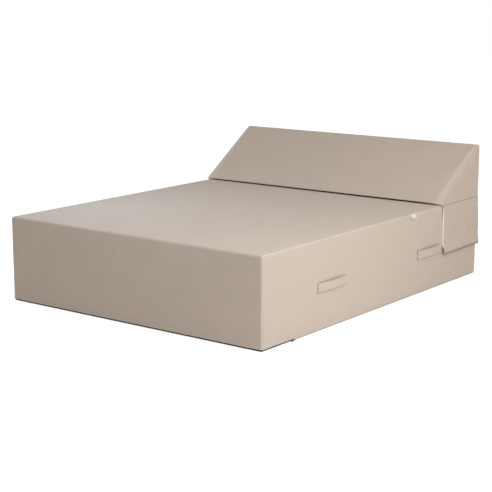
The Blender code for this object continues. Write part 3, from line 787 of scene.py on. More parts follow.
def wedge_crown(spot):
    """The most that a point of the wedge may move out, as a vector."""
    inside = dome(WEDGE_HALF - abs(spot.x), 70 * MM)
    level = Vector((spot.y, spot.z))
    out = heading(SLOPE + math.pi / 2)
    if abs(spot.x) > WEDGE_HALF - 0.05 * MM:
        near_slope = (FRONT_MIDDLE + out * (FRONT_RADIUS - END_RADIUS) - level).dot(out)
        near_back = WEDGE_BACK - END_RADIUS - spot.y
        fullness = dome(near_slope, END_SOFT) * dome(near_back, END_SOFT)
        fullness *= ease((spot.z - WEDGE_SEAT) / FOOT_SOFT)
        return Vector((math.copysign(END_CROWN * fullness, spot.x), 0, 0))
    if spot.y > WEDGE_BACK - 0.05 * MM:
        share = (TOP_MIDDLE.y - spot.z) / (TOP_MIDDLE.y - ZIP_MIDDLE - ZIP_LIP)
        return Vector((0, BACK_CROWN * swell(share) * inside, 0))
    share = (level - FRONT_MIDDLE).dot(TOP_MIDDLE - FRONT_MIDDLE)
    share /= (TOP_MIDDLE - FRONT_MIDDLE).length_squared
    if not 0.0 < share < 1.0:
        return Vector((0, 0, 0))
    return Vector((0, out.x, out.y)) * (SLOPE_CROWN * swell(share) * inside)


print("wedge swells by", round(fill_out(wedge, wedge_crown) / MM, 2), "mm at most")

# %% Lift the rolled front edge off the base
ROLL_HEIGHT = 20 * MM
FRONT_LIFT, RIGHT_LIFT = 6.6 * MM, 1.3 * MM


def lift_front(piece):
    """Lifts the lower half of the front roll, a little more towards the right end."""
    for vert in piece.data.vertices:
        x, y, z = vert.co
        low = 1 - max(0.0, (z - WEDGE_SEAT) / ROLL_HEIGHT)
        if y < FRONT_MIDDLE.x + 2 * MM and low > 0 and abs(x) < CORE:
            inside = 1 - (abs(x) / CORE) ** 20
            vert.co.z += (FRONT_LIFT + RIGHT_LIFT * x / CORE) * low ** 2 * inside


lift_front(wedge)
print("front edge lifted")

# %% [markdown]
# The wedge's cover is cut as the base's was: a seam in the middle of each end's edge, and a slot
# for the zip low on the back, with a narrow band of cloth between it and the heel. The slot
# stops where the ends' roll begins, and cloth closes it there.

# %% Cut the wedge's cover
END_SEAM = CORE + END_REACH * math.sin(math.pi / 4)
LOW_HIGHLIGHT_WIDTH, HIGH_HIGHLIGHT_WIDTH = 55 * MM, 30 * MM


def beyond_end_seam(face, side):
    return face.calc_center_median().x * side > END_SEAM


def at_back(face, low, high):
    middle = face.calc_center_median()
    return face.normal.y > 0.5 and low < middle.z < high and middle.y > WEDGE_BACK - 20 * MM


def in_slot(face):
    inside = abs(face.calc_center_median().x) < CORE
    return inside and at_back(face, ZIP_MIDDLE - ZIP_LIP, ZIP_MIDDLE + ZIP_LIP)


def in_band(face):
    return at_back(face, 0.0, ZIP_MIDDLE - ZIP_LIP)


wedge_right = part_off(wedge, "wedge_end_right", lambda face: beyond_end_seam(face, 1))
wedge_left = part_off(wedge, "wedge_end_left", lambda face: beyond_end_seam(face, -1))
wedge_band = part_off(wedge, "wedge_back_band", in_band)
work_on(wedge)
open_up(wedge, in_slot)
wedge.name = "wedge_slope_and_back"


def wedge_flat(spot):
    """The wedge wrap's run: up the slope, then on down the back."""
    up = heading(SLOPE)
    ridge = Vector((WEDGE_BACK, WEDGE_SEAT + WEDGE_RISE))
    level = Vector((spot.y, spot.z))
    over = max(0.0, ridge.y - 20 * MM - spot.z) if spot.y > WEDGE_BACK - 15 * MM else 0.0
    return (spot.x, (level - ridge).dot(up) + over * (1 + math.sin(SLOPE)))


def painted_shade_under_front(spot):
    """Painted shade darkens the front roll as it turns under."""
    if spot.y >= FRONT_MIDDLE.x + 2 * MM:
        return 0.0
    return 0.4 * ease((13 * MM + WEDGE_SEAT - spot.z) / (9 * MM))


def painted_shade_at_foot(spot):
    """Painted shade darkens the ends where they meet the base."""
    return 0.85 * ease(1 - (spot.z - WEDGE_SEAT) / (2 * MM))


def below_slot(spot):
    return spot.z < ZIP_MIDDLE + 8 * MM


def paint_roll_highlight(panel):
    """Marks a painted highlight on the wide roll where the slope turns onto each end, in place of
    the seam's.
    """
    edge = panel.data.attributes["edge"]
    for n, vert in enumerate(panel.data.vertices):
        up = (vert.co.z - WEDGE_SEAT) / WEDGE_RISE
        width = LOW_HIGHLIGHT_WIDTH + (HIGH_HIGHLIGHT_WIDTH - LOW_HIGHLIGHT_WIDTH) * up
        share = min(1.0, (WEDGE_HALF - abs(vert.co.x)) / width)
        roll = 0.75 * math.sin(math.pi * share) ** 2 * ease((WEDGE_BACK - vert.co.y) / (20 * MM))
        edge.data[n].value = max(edge.data[n].value * 0.25, roll)


# A painted shade darkens the front roll where it turns under.
mark(wedge, "furrow", painted_shade_under_front)
for panel, node, flat, layout, more in (
    (wedge, "wrap", (1.58, 0.80), wedge_flat, {}),
    (wedge_right, "end_right", (0.441, 0.296), side_flat, {"area": 0.065}),
    (wedge_left, "end_left", (0.441, 0.296), side_flat, {"area": 0.065}),
    (wedge_band, "back_strip", (1.58, 0.046), wedge_flat, {}),
):
    # Each end gets a painted shade where it meets the base.
    if layout is side_flat:
        mark(panel, "furrow", painted_shade_at_foot)
    shape_rim(panel, 0.5 * MM, 0.3 * MM, keep=below_slot)
    # A painted highlight goes along the wide roll onto each end.
    paint_roll_highlight(panel)
    thicken(panel, CLOTH)
    smooth(panel)
    lay_map(panel, layout)
    node = "wedge_cover_" + node
    keep_sheet(panel, "wedge", "cover_cloth", node, cover_cloth, flat, ["wedge_foam"], **more)
print("wedge cover is handed over")

# %% [markdown]
# ## The wedge's underside
# A dark panel closes the wedge underneath, where it lies on the base. It is a flat sheet with a
# hem, drawn in from the rounded front edge and from the ends, and its two back corners follow
# the roll of the ends.

# %% Make the wedge's underside
UNDER_FRONT = FRONT_MIDDLE.x + SEAM_GAP + GAP
UNDER_REACH = WEDGE_HALF - 3 * MM
wedge_bottom = soft_block(
    "wedge_underside_cloth",
    Vector((-UNDER_REACH, UNDER_FRONT, WEDGE_SEAT)),
    Vector((UNDER_REACH, WEDGE_BACK - CLOTH - GAP, WEDGE_SEAT + CLOTH)),
    0.4 * MM, 2, [(0, 30, 0.2), (1, 8, 0.2)],
)
work_on(wedge_bottom)
for share in (0.0, 0.25, 0.5, 0.7):
    for side in (-1, 1):
        slice_at(wedge_bottom, (side * (CORE + END_REACH * share), 0, 0), (1, 0, 0))
bpy.ops.object.mode_set(mode="OBJECT")
for vert in wedge_bottom.data.vertices:
    share = max(0.0, abs(vert.co.x) - CORE) / END_REACH
    if vert.co.y > WEDGE_BACK - 5 * MM:
        vert.co.y -= (END_RADIUS + 0.5 * MM) * (1 - math.sqrt(1 - share ** 2))
smooth(wedge_bottom)
lay_map(wedge_bottom, floor_flat)
keep_sheet(
    wedge_bottom, "wedge", "underside_cloth", "wedge_cover_underside", underside_cloth,
    (1.574, 0.41), ["cover_top_and_ends"],
)
print("wedge underside:", len(wedge_bottom.data.polygons), "faces")

# %% [markdown]
# ## Foam and its white bags
# Under the cover lies a thin white bag of pressed fibres, and in it the foam: two firm yellowish
# slabs and a softer pale blue one on top. They show only when the cover is off, but they are
# what the object is made of. The foam is cut from the same rounded block by planes.

# %% Foam and bag finishes
def cellular(name, colour):
    """Cut foam: countless open cells of a millimetre or two."""
    finish = Finish(name, roughness=0.95)
    place = finish.node("TexCoord", output=3)
    cells = finish.node("TexVoronoi", {"Vector": place, "Scale": 700.0})
    mottle = finish.noise(place, 14.0, 3.0)
    shade = cells * 0.5 + mottle * 0.5
    finish.set("Base Color", finish.mix(shade, tinted(colour, 0.86), tinted(colour, 1.08)))
    finish.bump(cells, 0.6 * MM, 0.8)
    return finish


def pressed_fibre(name, colour):
    """A thin pressed-fibre bag: fine random fibres, with small dimples in rows."""
    finish = Finish(name, roughness=0.7)
    place = finish.node("TexCoord", output=3)
    fibres = finish.noise(place, 600.0, 4.0, 0.7)
    dimples = finish.node("TexVoronoi", {"Vector": place, "Scale": 330.0, "Randomness": 0.15})
    finish.set("Base Color", finish.mix(fibres, tinted(colour, 0.92), tinted(colour, 1.05)))
    finish.bump(fibres * 0.4 + dimples, 0.2 * MM, 0.6)
    return finish


firm_foam = cellular("support_foam", (0.850, 0.820, 0.680))
soft_foam = cellular("topper_foam", (0.720, 0.800, 0.850))
bag_fibre = pressed_fibre("liner_cloth", (0.780, 0.770, 0.740))
print("foam and bag finishes are ready")

# %% Cut the base's foam
FOAM_DEPTH = CLOTH + GAP + LINER + GAP
TOPPER_FLOOR = BASE.z - FOAM_DEPTH - 50 * MM
SLAB_MIDDLE = (FOAM_DEPTH + TOPPER_FLOOR) / 2


def foam_block(name, depth):
    """The base's block at a depth under the cover, crowned a little less than the cover."""
    block = rounded_block(name, depth, FOAM_ARRIS - depth, 4, (24, 30, 8))
    for vert in block.data.vertices:
        outer = vert.co.copy()
        for axis, place in enumerate(vert.co):
            if min(abs(place - LOW[axis]), abs(place - HIGH[axis])) <= depth + 0.1 * MM:
                outer[axis] = min(max(place * 1.01, LOW[axis]), HIGH[axis])
        vert.co += base_crown(outer) * 0.6
    return block


for name, low, high, slot, finish in (
    ("foam_lower", None, SLAB_MIDDLE - GAP / 2, "support_foam", firm_foam),
    ("foam_upper", SLAB_MIDDLE + GAP / 2, TOPPER_FLOOR - GAP / 2, "support_foam", firm_foam),
    ("foam_topper", TOPPER_FLOOR + GAP / 2, None, "topper_foam", soft_foam),
):
    slab = foam_block(name, FOAM_DEPTH)
    work_on(slab)
    for height, way in ((low, -1), (high, 1)):
        if height is not None:
            slice_at(slab, (0, 0, height), (0, 0, way), clear_outer=True)
    bpy.ops.object.mode_set(mode="OBJECT")
    smooth(slab)
    keep_piece(slab, "base", slot, "base_" + name, finish)
print("three slabs cut")

# %% [markdown]
# The base's bag has a wide mouth low at the foot end, behind the zip, where the foam goes in.
# The wedge's bag is open along its bottom.

# %% Make the two bags and the wedge's foam
MOUTH_TOP = 110 * MM


def in_mouth(face):
    middle = face.calc_center_median()
    low = FOAM_ARRIS < middle.z < MOUTH_TOP
    return face.normal.y < -0.5 and low and abs(middle.x) < BASE.x / 2 - 120 * MM


bag = foam_block("base_bag", CLOTH + GAP)
work_on(bag)
slice_at(bag, (0, 0, MOUTH_TOP), (0, 0, 1))
open_up(bag, in_mouth)
wedge_bag = wedge_skin("wedge_bag", CLOTH + GAP)
lift_front(wedge_bag)
for piece, body, flat, under in (
    (bag, "base", (3.1, 3.05), "foam_topper"),
    (wedge_bag, "wedge", (1.8, 0.84), "wedge_foam_block"),
):
    thicken(piece, LINER)
    smooth(piece)
    keep_sheet(piece, body, "liner_cloth", body + "_liner", bag_fibre, flat, [under])

wedge_block = wedge_skin("wedge_foam_block", FOAM_DEPTH + 0.4 * MM)
lift_front(wedge_block)
work_on(wedge_block)
pick(wedge_block, "EDGE", lambda edge: edge.is_boundary)
bpy.ops.mesh.edge_face_add()
bpy.ops.mesh.select_all(action="SELECT")
bpy.ops.mesh.normals_make_consistent(inside=False)
bpy.ops.object.mode_set(mode="OBJECT")
smooth(wedge_block)
keep_piece(wedge_block, "wedge", "support_foam", "wedge_foam", firm_foam)
print("bags and wedge foam made")

# %% [markdown]
# ## The base's zip
# The zip's two tapes lie behind the slot, and its teeth fill it. Their shape is the cover's
# own rounded edge, a little deeper, so they are cut from rounded blocks of that depth. The
# teeth are a coil of monofilament. Its ridges are a pattern across the chain, with a groove
# down its middle where the two halves meet.

# %% Zip finishes
def coil_finish():
    """Monofilament coils side by side, every millimetre and a half along the chain."""
    finish = Finish("zip_chain", roughness=0.5)
    finish.set("Specular IOR Level", 0.2)
    place, along, across = finish.cloth_place()
    ridge = along.wave(1.5 * MM) * 0.5 + 0.5
    groove = across.size().between(-0.5 * MM, 0.5 * MM, 0.4 * MM)
    finish.set("Base Color", finish.mix(ridge, (0.014, 0.012, 0.010), (0.044, 0.037, 0.032)))
    finish.bump(ridge * (1 - groove) - groove, 0.5 * MM)
    return finish


TAPE_COLOUR = (0.080, 0.070, 0.062)
tape_finish = woven("zip_tape", TAPE_COLOUR, 0.5 * MM, 0.15 * MM, 1.0, sheen=0.02)
chain_finish = coil_finish()
print("zip finishes are ready")

# %% Cut the tapes and the chain from rounded blocks
CHAIN_DEPTH = 0.5 * MM
CHAIN_RADIUS = ARRIS - CHAIN_DEPTH
CHAIN_HIGH = math.pi / 4 - 6 * MM / CHAIN_RADIUS
TAPE_EDGE = ARRIS + 4 * MM
TAPE_DEPTH = CLOTH + GAP
TAPE, TEETH = 0.6 * MM, 2.4 * MM


def rim_height(depth, angle):
    """The height of a point of the bottom edge, at a depth, and at an angle below level."""
    return ARRIS - (ARRIS - depth) * math.sin(angle)


def round_foot(spot):
    """How far round the foot end a place lies, and how high up the band."""
    if abs(spot.x) > HIGH.x - ARRIS:
        return (math.copysign(HIGH.x + spot.y - LOW.y, spot.x), spot.z - 7 * MM)
    return (spot.x, spot.z - 7 * MM)


def edge_band(name, depth, thickness, low, high, bottom_reach=None):
    """A band of the bottom edge's layer at a depth, round the foot end as far as the zip's end."""
    band = rounded_block(name, depth, ARRIS - depth, 8, (24, 30, 2))
    work_on(band)
    for height in (low, high):
        if height is not None:
            slice_at(band, (0, 0, height), (0, 0, 1))
    slice_at(band, (0, ZIP_END, 0), (0, 1, 0))
    if bottom_reach:
        for x in (LOW.x + bottom_reach, HIGH.x - bottom_reach):
            slice_at(band, (x, 0, 0), (1, 0, 0))
        slice_at(band, (0, LOW.y + bottom_reach, 0), (0, 1, 0))

    def unwanted(face):
        middle = face.calc_center_median()
        if middle.y > ZIP_END:
            return True
        if bottom_reach:
            near = abs(middle.x) > HIGH.x - bottom_reach or middle.y < LOW.y + bottom_reach
            return not (faces_most(face, 2, -1) and near)
        return faces_most(face, 2) or not low < middle.z < high

    open_up(band, unwanted)
    shape_rim(band, 0.0, 0.0)
    thicken(band, thickness)
    smooth(band)
    lay_map(band, round_foot)
    return band


tape_low = rim_height(TAPE_DEPTH, CHAIN_HIGH - GAP / (ARRIS - TAPE_DEPTH))
chain_low = rim_height(CHAIN_DEPTH, math.pi / 4)
chain_high = rim_height(CHAIN_DEPTH, CHAIN_HIGH)
upper_tape = edge_band("base_tape_upper", TAPE_DEPTH, TAPE, tape_low, TAPE_EDGE)
lower_tape = edge_band("base_tape_lower", TAPE_DEPTH, TAPE, None, None, TAPE_EDGE)
chain = edge_band("base_teeth", CHAIN_DEPTH, TEETH, chain_low, chain_high)
for tape, node, flat, over in (
    (upper_tape, "base_zip_tape_upper", (2.04, 0.0105), "cover_top_and_ends"),
    (lower_tape, "base_zip_tape_lower", (2.04, 0.0135), "cover_underside"),
):
    keep_sheet(tape, "base", "zip_tape", node, tape_finish, flat, [over])
keep_piece(chain, "base", "zip_chain", "base_zip_chain", chain_finish)
print("base zip:", len(chain.data.polygons), "faces in the chain")

# %% [markdown]
# ## The wedge's zip
# Low on the wedge's back runs the same zip in a straight line. Its bands are long thin blocks
# with softened edges, and the chain has the same groove and ridges.

# %% Make the wedge's zip
def back_band(name, reach, depth, thickness, low, high):
    """A band across the wedge's back, at a depth, between two heights from the zip's middle."""
    back = WEDGE_BACK - depth
    band = soft_block(
        name,
        Vector((-reach, back - thickness, ZIP_MIDDLE + low)),
        Vector((reach, back, ZIP_MIDDLE + high)),
        thickness / 4, 2, [(0, 20, 0.2)],
    )
    smooth(band)
    lay_map(band, lambda spot: (spot.x, spot.z - ZIP_MIDDLE))
    return band


TAPE_REACH = CORE + 2 * MM
TAPE_NEAR, TAPE_FAR = 3.3 * MM, 13.3 * MM
wedge_upper = back_band("wedge_tape_upper", TAPE_REACH, TAPE_DEPTH, TAPE, TAPE_NEAR, TAPE_FAR)
wedge_lower = back_band("wedge_tape_lower", TAPE_REACH, TAPE_DEPTH, TAPE, -TAPE_FAR, -TAPE_NEAR)
wedge_chain = back_band("wedge_teeth", CORE - GAP, CHAIN_DEPTH, TEETH, -3 * MM, 3 * MM)
for tape, node, over in (
    (wedge_upper, "wedge_zip_tape_upper", "wedge_slope_and_back"),
    (wedge_lower, "wedge_zip_tape_lower", "wedge_back_band"),
):
    keep_sheet(tape, "wedge", "zip_tape", node, tape_finish, (1.552, 0.010), [over])
keep_piece(wedge_chain, "wedge", "zip_chain", "wedge_zip_chain", chain_finish)
print("wedge zip made")

# %% [markdown]
# ## Sliders and pulls
# The two sliders and their pulls are small dark metal castings. Their solids already have the
# right shape, so they stay, and get a burnished metal that is brighter where fingers rub it.

# %% Give the zip hardware its metal
def burnished():
    finish = Finish("zip_metal", metallic=0.85)
    place = finish.node("TexCoord", output=3)
    cloud = finish.noise(place, 260.0, 4.0, 0.65)
    finish.set("Base Color", finish.mix(cloud, (0.075, 0.070, 0.066), (0.190, 0.180, 0.170)))
    finish.set("Roughness", cloud * 0.3 + 0.28)
    finish.bump(cloud, 0.05 * MM, 0.5)
    return finish


metal_finish = burnished()
for name in ("base_zip_slider", "base_zip_pull", "wedge_zip_slider", "wedge_zip_pull"):
    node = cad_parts[name]
    node.data.materials.clear()
    node.data.materials.append(metal_finish.material)
print("hardware finished")

# %% [markdown]
# ## The carrying straps
# Each side has two straps of doubled cover cloth. A strap is sewn flat at both ends with a box
# of stitches, and stands a finger's breadth off the side between them. It starts as a block,
# gets soft edges, and is divided along its length; its rows are then moved out into the bow.

# %% Make the straps
STRAP = Vector((3 * MM, 240 * MM, 50 * MM))
STRAP_HEIGHT = BASE.z - 225 * MM
STRAP_REACH = 0.457
FLAT_END = 32 * MM
BOW, CURL = 8.5 * MM, 0.6 * MM
STITCH_PITCH, STITCH_SIDE, STITCH_END = 3.2 * MM, 21 * MM, 106 * MM


def side_face(y, z):
    return HIGH.x + base_crown(Vector((HIGH.x, y, z))).x


def stitch_row(finish, distance, along):
    """A row of stitches: dashes along a line, each in a slight furrow."""
    line = finish.fade(distance.size(), 0.9 * MM, 0.3 * MM)
    from_middle = (along.repeat(STITCH_PITCH) - STITCH_PITCH / 2).size()
    dash = finish.fade(from_middle, 1.3 * MM, 1.0 * MM)
    furrow = finish.fade(distance.size(), 2.4 * MM, 0.0)
    return (line * dash * 1.2 - furrow * 1.6) * 1.2


def strap_stitches(finish, across, along, height):
    """Two rows along the strap's edges, and a row across each end."""
    rows = stitch_row(finish, along.size() - STITCH_SIDE, across)
    ends = stitch_row(finish, across.size() - STITCH_END, along)
    return height + rows + ends * finish.fade(along.size(), 22.5 * MM, 21.5 * MM)


strap_cloth = woven("handle_strap", tinted(CLOTH_COLOUR, 1.03), stitches=strap_stitches)


def strap_painted_shadow(spot):
    """A thin painted shadow along a strap's long edges and its foot end."""
    bound = max(abs(spot.z) - STRAP.z / 2, -spot.y - STRAP.y / 2) + 2.4 * MM
    return 0.6 * ease(bound / (1.2 * MM))


def add_strap(name, side, middle):
    half = STRAP / 2
    strap = soft_block(name, -half, half, 1.2 * MM, 3, [(1, 47, 0.1), (2, 7, 0.03)])
    lay_map(strap, lambda spot: (spot.y, spot.z))
    # A thin painted shadow goes along the strap's edges.
    mark(strap, "furrow", strap_painted_shadow)
    flat = half.y - FLAT_END
    for vert in strap.data.vertices:
        out, along, up = vert.co
        bow = BOW * ease(1 - (along / flat) ** 2) if abs(along) < flat else 0.0
        curl = CURL * math.sin(along * 31.0 + middle * 9.0) * (bow / BOW)
        y, z = middle + along, STRAP_HEIGHT + up
        face = side_face(y, z) + GAP + half.x
        vert.co = (side * (face + bow + out + curl * up / half.z), y, z)
    if side < 0:
        strap.data.flip_normals()
    smooth(strap)
    return strap


SIDES = {"right": 1, "left": -1}
for side_name, side in SIDES.items():
    for end_name, end in (("foot", -1), ("head", 1)):
        label = side_name + "_" + end_name
        strap = add_strap("strap_" + label, side, end * STRAP_REACH)
        keep_sheet(
            strap, "base", "handle_strap", "handle_" + label, strap_cloth,
            (0.240, 0.050), ["cover_side_" + side_name],
        )
print("four straps sewn on")

# %% [markdown]
# ## The skirt flaps
# Three flaps hang from the wedge's bottom seam over the base. Each is doubled cloth with a
# stitched hem, which is folded in once more and so twice as thick, and its front corner stands
# away from the side. A flat grid has its rows and columns moved into that hang, and is then
# thickened, more at the hem.

# %% How a flap hangs
FLAP = 2.4 * MM
HEM = 3.9 * MM
HEM_WIDTH = 20 * MM
HEM_ROUND = 4 * MM
FLAP_DROP = 264 * MM
FLAP_TOP = WEDGE_SEAT - SEAM_GAP
FLAP_FRONT = 0.600
STRIP, GRIP = 1.3 * MM, 0.4 * MM
STRIPS = GAP + STRIP + GRIP + STRIP + GAP
SETTLED_DROP = 110 * MM
FLARE, FRONT_FLARE, FLARE_REACH = 6 * MM, 8 * MM, 70 * MM
FRONT_BULGE, SEAM_PINCH = 3 * MM, 1.8 * MM
HEM_START = 35 * MM


def flap_inner(drop, front):
    """How far out a flap's inner face hangs, at a drop and a share towards its front."""
    top = 3 * MM - FLAP
    settled = CROWN + STRIPS
    flare = FLARE + FRONT_FLARE * ease(front)
    bulge = FRONT_BULGE * ease((front - 0.6) / 0.4)
    hang = top + (settled - top) * ease(drop / SETTLED_DROP)
    hang += flare * ease((drop - FLAP_DROP + FLARE_REACH) / FLARE_REACH)
    hang += bulge * math.sin(math.pi * min(1.0, drop / (90 * MM)))
    return hang - SEAM_PINCH * ease(1 - drop / (7 * MM))


def hem_share(run, drop, width):
    """1 where the hem is folded in, at the free edges but not near the seam."""
    near = min(run, width - run, FLAP_DROP - drop)
    folded = ease((HEM_WIDTH + 4 * MM - near) / (8 * MM))
    return folded * ease((drop - HEM_START) / HEM_START)


def hem_round(near):
    """The share of its thickness that a flap has so near to its edge, for a rounded edge."""
    inside = min(1.0, near / HEM_ROUND)
    return 0.25 + 0.75 * math.sqrt(1 - (1 - inside) ** 2)


def crowded(length, cells):
    """Places along a length: even cells, with finer ones where an edge is rounded."""
    near = [part * HEM_ROUND for part in (0.0, 0.1, 0.28, 0.55, 1.0, 1.5, 2.2)]
    end = [length - place for place in reversed(near)]
    cell = (end[0] - near[-1]) / cells
    return near + [near[-1] + cell * step for step in range(1, cells)] + end


def hem_stitches(width):
    """A row of stitches inside each free edge of a flap, whose map runs from a top corner."""
    def stitches(finish, across, along, height):
        bottom = stitch_row(finish, along - (FLAP_DROP - HEM_WIDTH), across)
        ends = stitch_row(finish, (across - width / 2).size() - (width / 2 - HEM_WIDTH), along)
        return height + bottom + ends
    return stitches


FLAP_RUN = WEDGE_BACK - FLAP_FRONT
BACK_RUN = BASE.x - 6 * MM
side_hem, back_hem = hem_stitches(FLAP_RUN), hem_stitches(BACK_RUN)
side_flap_cloth = woven(
    "side_flap_cloth", CLOTH_COLOUR, highlight_lightness=1.55, grain=1.3, stitches=side_hem
)
back_flap_cloth = woven("back_flap_cloth", CLOTH_COLOUR, highlight_lightness=1.55, stitches=back_hem)


def beyond(value, start, soft):
    """0 up to a start, and 1 from a little beyond it."""
    return ease((value - start) / soft)


def between_ends(drop):
    """1 along an upright edge, and 0 near the seam and near the bottom corner."""
    return beyond(drop, 16 * MM, 6 * MM) * (1 - beyond(drop, FLAP_DROP - 42 * MM, 6 * MM))


def flap_painted_shadow(run, drop):
    """A thin painted shadow along the seam, under the bottom edge, and at the front edge's two
    ends.
    """
    shade = 0.8 * ease(1 - drop / (4 * MM)) + 0.85 * beyond(drop, FLAP_DROP - 11 * MM, 3 * MM)
    front = 1 - beyond(run, 1 * MM, 2 * MM)
    return min(0.85, shade + 0.8 * front * (1 - between_ends(drop)))


def flap_painted_highlight(run, drop, width):
    """A painted highlight where the folded front and rear edges catch the light, between their two
    ends.
    """
    return between_ends(drop) * (1 - beyond(min(run, width - run), 1.5 * MM, 2.5 * MM))


def hang_flap(side_name, place, width):
    """A flap whose place is given for a run across it and a drop below its seam."""
    across, down = crowded(width, round(width / (8 * MM))), crowded(FLAP_DROP, 32)
    columns, rows = len(across) - 1, len(down) - 1
    flap = add_grid("flap_" + side_name + "_cloth", columns, rows)
    flat = []
    for vert in flap.data.vertices:
        run = across[round((vert.co.x + 0.5) * columns)]
        drop = down[round((0.5 - vert.co.y) * rows)]
        flat.append((run, drop))
        vert.co = place(run, drop)
    lay_places(flap, flat)
    fold = flap.vertex_groups.new(name="fold")
    for n, (run, drop) in enumerate(flat):
        thick = FLAP + HEM * hem_share(run, drop, width)
        thick *= hem_round(min(run, width - run, FLAP_DROP - drop))
        fold.add([n], thick / (FLAP + HEM), "REPLACE")
    # A painted shadow and a painted highlight go along the flap's edges.
    lay_values(flap, "furrow", [flap_painted_shadow(run, drop) for run, drop in flat])
    lay_values(flap, "edge", [flap_painted_highlight(run, drop, width) for run, drop in flat])
    if side_name == "left":
        flap.data.flip_normals()
    thicken(flap, FLAP + HEM, offset=1.0, group="fold")
    smooth(flap, 50.0)
    return flap


print("flaps drop", round(FLAP_DROP, 3), "m from", round(FLAP_TOP, 4))

# %% Hang the three flaps
def side_flap_place(side):
    def place(run, drop):
        out = HIGH.x + flap_inner(drop, 1 - run / FLAP_RUN) - HEM * hem_share(run, drop, FLAP_RUN)
        return (side * out, FLAP_FRONT + run, FLAP_TOP - drop)
    return place


def back_flap_place(run, drop):
    out = HIGH.y + flap_inner(drop, 0.0) - HEM * hem_share(run, drop, BACK_RUN)
    return (HIGH.x - 3 * MM - run, out, FLAP_TOP - drop)


FLAPS = {
    "right": (side_flap_place(1), FLAP_RUN, side_flap_cloth, (0.403, 0.264), "wedge_end_right"),
    "left": (side_flap_place(-1), FLAP_RUN, side_flap_cloth, (0.403, 0.264), "wedge_end_left"),
    "back": (back_flap_place, BACK_RUN, back_flap_cloth, (1.574, 0.264), "wedge_back_band"),
}
for side_name, (place, width, finish, size, over) in FLAPS.items():
    flap = hang_flap(side_name, place, width)
    body, node = "flap_" + side_name, "skirt_flap_" + side_name
    keep_sheet(flap, body, "cover_cloth", node, finish, size, [over], held="hung")
print("flaps hung")

# %% [markdown]
# ## Hook and loop strips
# Fuzzy loop strips are sewn on the base, and hooked strips inside the flaps grip them. Both are
# narrow woven tapes with a pile. The pile is too fine to model hair by hair, so it is in the
# finish: curled fuzz for the loops, and rows of tiny stiff hooks.

# %% Strip finishes
def pile(name, colour, hooked):
    finish = Finish(name, roughness=0.95, sheen_weight=0.3)
    place, across, along = finish.cloth_place()
    if hooked:
        tufts = (across.wave(1.6 * MM) + along.wave(2.0 * MM)) * 0.25 + 0.5
    else:
        tufts = finish.noise(place, 900.0, 4.0, 0.7)
    cloud = finish.noise(place, 60.0, 2.0)
    shade = tufts * 0.7 + cloud * 0.3
    finish.set("Base Color", finish.mix(shade, tinted(colour, 0.72), tinted(colour, 1.2)))
    finish.bump(tufts, 0.9 * MM)
    return finish


loop_finish = pile("loop_pile", (0.420, 0.360, 0.300), False)
hook_finish = pile("hook_pile", (0.400, 0.345, 0.290), True)
STRIP_HEIGHT = FLAP_TOP - 163 * MM
STRIP_HALF, STRIP_SHORT = 25 * MM, 35 * MM
LOOP_FACE = CROWN + GAP
HOOK_FACE = LOOP_FACE + STRIP + GRIP
print("strip height", round(STRIP_HEIGHT, 3))

# %% Sew the strips on
def onto_side(kind, side_name, run, out, up):
    """Where a point of a strip lies, sewn on the base or on the inside of a flap."""
    if side_name == "back":
        crown = base_crown(Vector((run, HIGH.y, STRIP_HEIGHT))).y
    else:
        crown = base_crown(Vector((HIGH.x, run, STRIP_HEIGHT))).x
    out += crown + GAP if kind == "loop" else HOOK_FACE
    if side_name == "back":
        return (-run, HIGH.y + out, STRIP_HEIGHT + up)
    return (SIDES[side_name] * (HIGH.x + out), run, STRIP_HEIGHT + up)


def add_strip(kind, side_name, start, end):
    """A thin block with soft edges, whose long way is Y before it is moved onto its side."""
    low = Vector((0, start + STRIP_SHORT, -STRIP_HALF))
    high = Vector((STRIP, end - STRIP_SHORT, STRIP_HALF))
    name = kind + "_tape_" + side_name
    strip = soft_block(name, low, high, 0.35 * MM, 2, [(1, 40, 0.1)])
    lay_map(strip, lambda spot: (spot.y, spot.z))
    for vert in strip.data.vertices:
        out, run, up = vert.co
        vert.co = onto_side(kind, side_name, run, out, up)
    if side_name == "left":
        strip.data.flip_normals()
    smooth(strip)
    return strip


for side_name, start, end, flat in (
    ("right", FLAP_FRONT, HIGH.y, (0.330, 0.050)),
    ("left", FLAP_FRONT, HIGH.y, (0.330, 0.050)),
    ("back", -HIGH.x, HIGH.x, (1.51, 0.050)),
):
    for kind, body, finish in (
        ("loop", "base", loop_finish), ("hook", "flap_" + side_name, hook_finish)
    ):
        strip = add_strip(kind, side_name, start, end)
        keep_piece(strip, body, "hook_and_loop", kind + "_strip_" + side_name, finish)
print("six strips sewn on")

# %% [markdown]
# ## The blank tag
# A small folded satin tag is caught in the top seam near the wedge. It is left blank. It turns
# over the soft edge and hangs a little way down the side, standing off it at its end.

# %% Make the tag
def satin():
    finish = Finish("tag_satin", roughness=0.45, sheen_weight=0.2)
    place, across, along = finish.cloth_place()
    threads = across.wave(0.4 * MM) * 0.5 + 0.5
    cloud = finish.noise(place, 90.0, 3.0)
    shade = threads * 0.3 + cloud * 0.7
    # The last few millimetres of the hanging end are darkened as painted shade.
    painted_end_shade = finish.fade(along, 23 * MM, 27 * MM)
    satin_white = finish.mix(shade, (0.670, 0.665, 0.650), (0.750, 0.745, 0.735))
    finish.set("Base Color", finish.mix(painted_end_shade, satin_white, (0.400, 0.390, 0.380)))
    finish.bump(threads + cloud, 0.1 * MM, 0.6)
    return finish


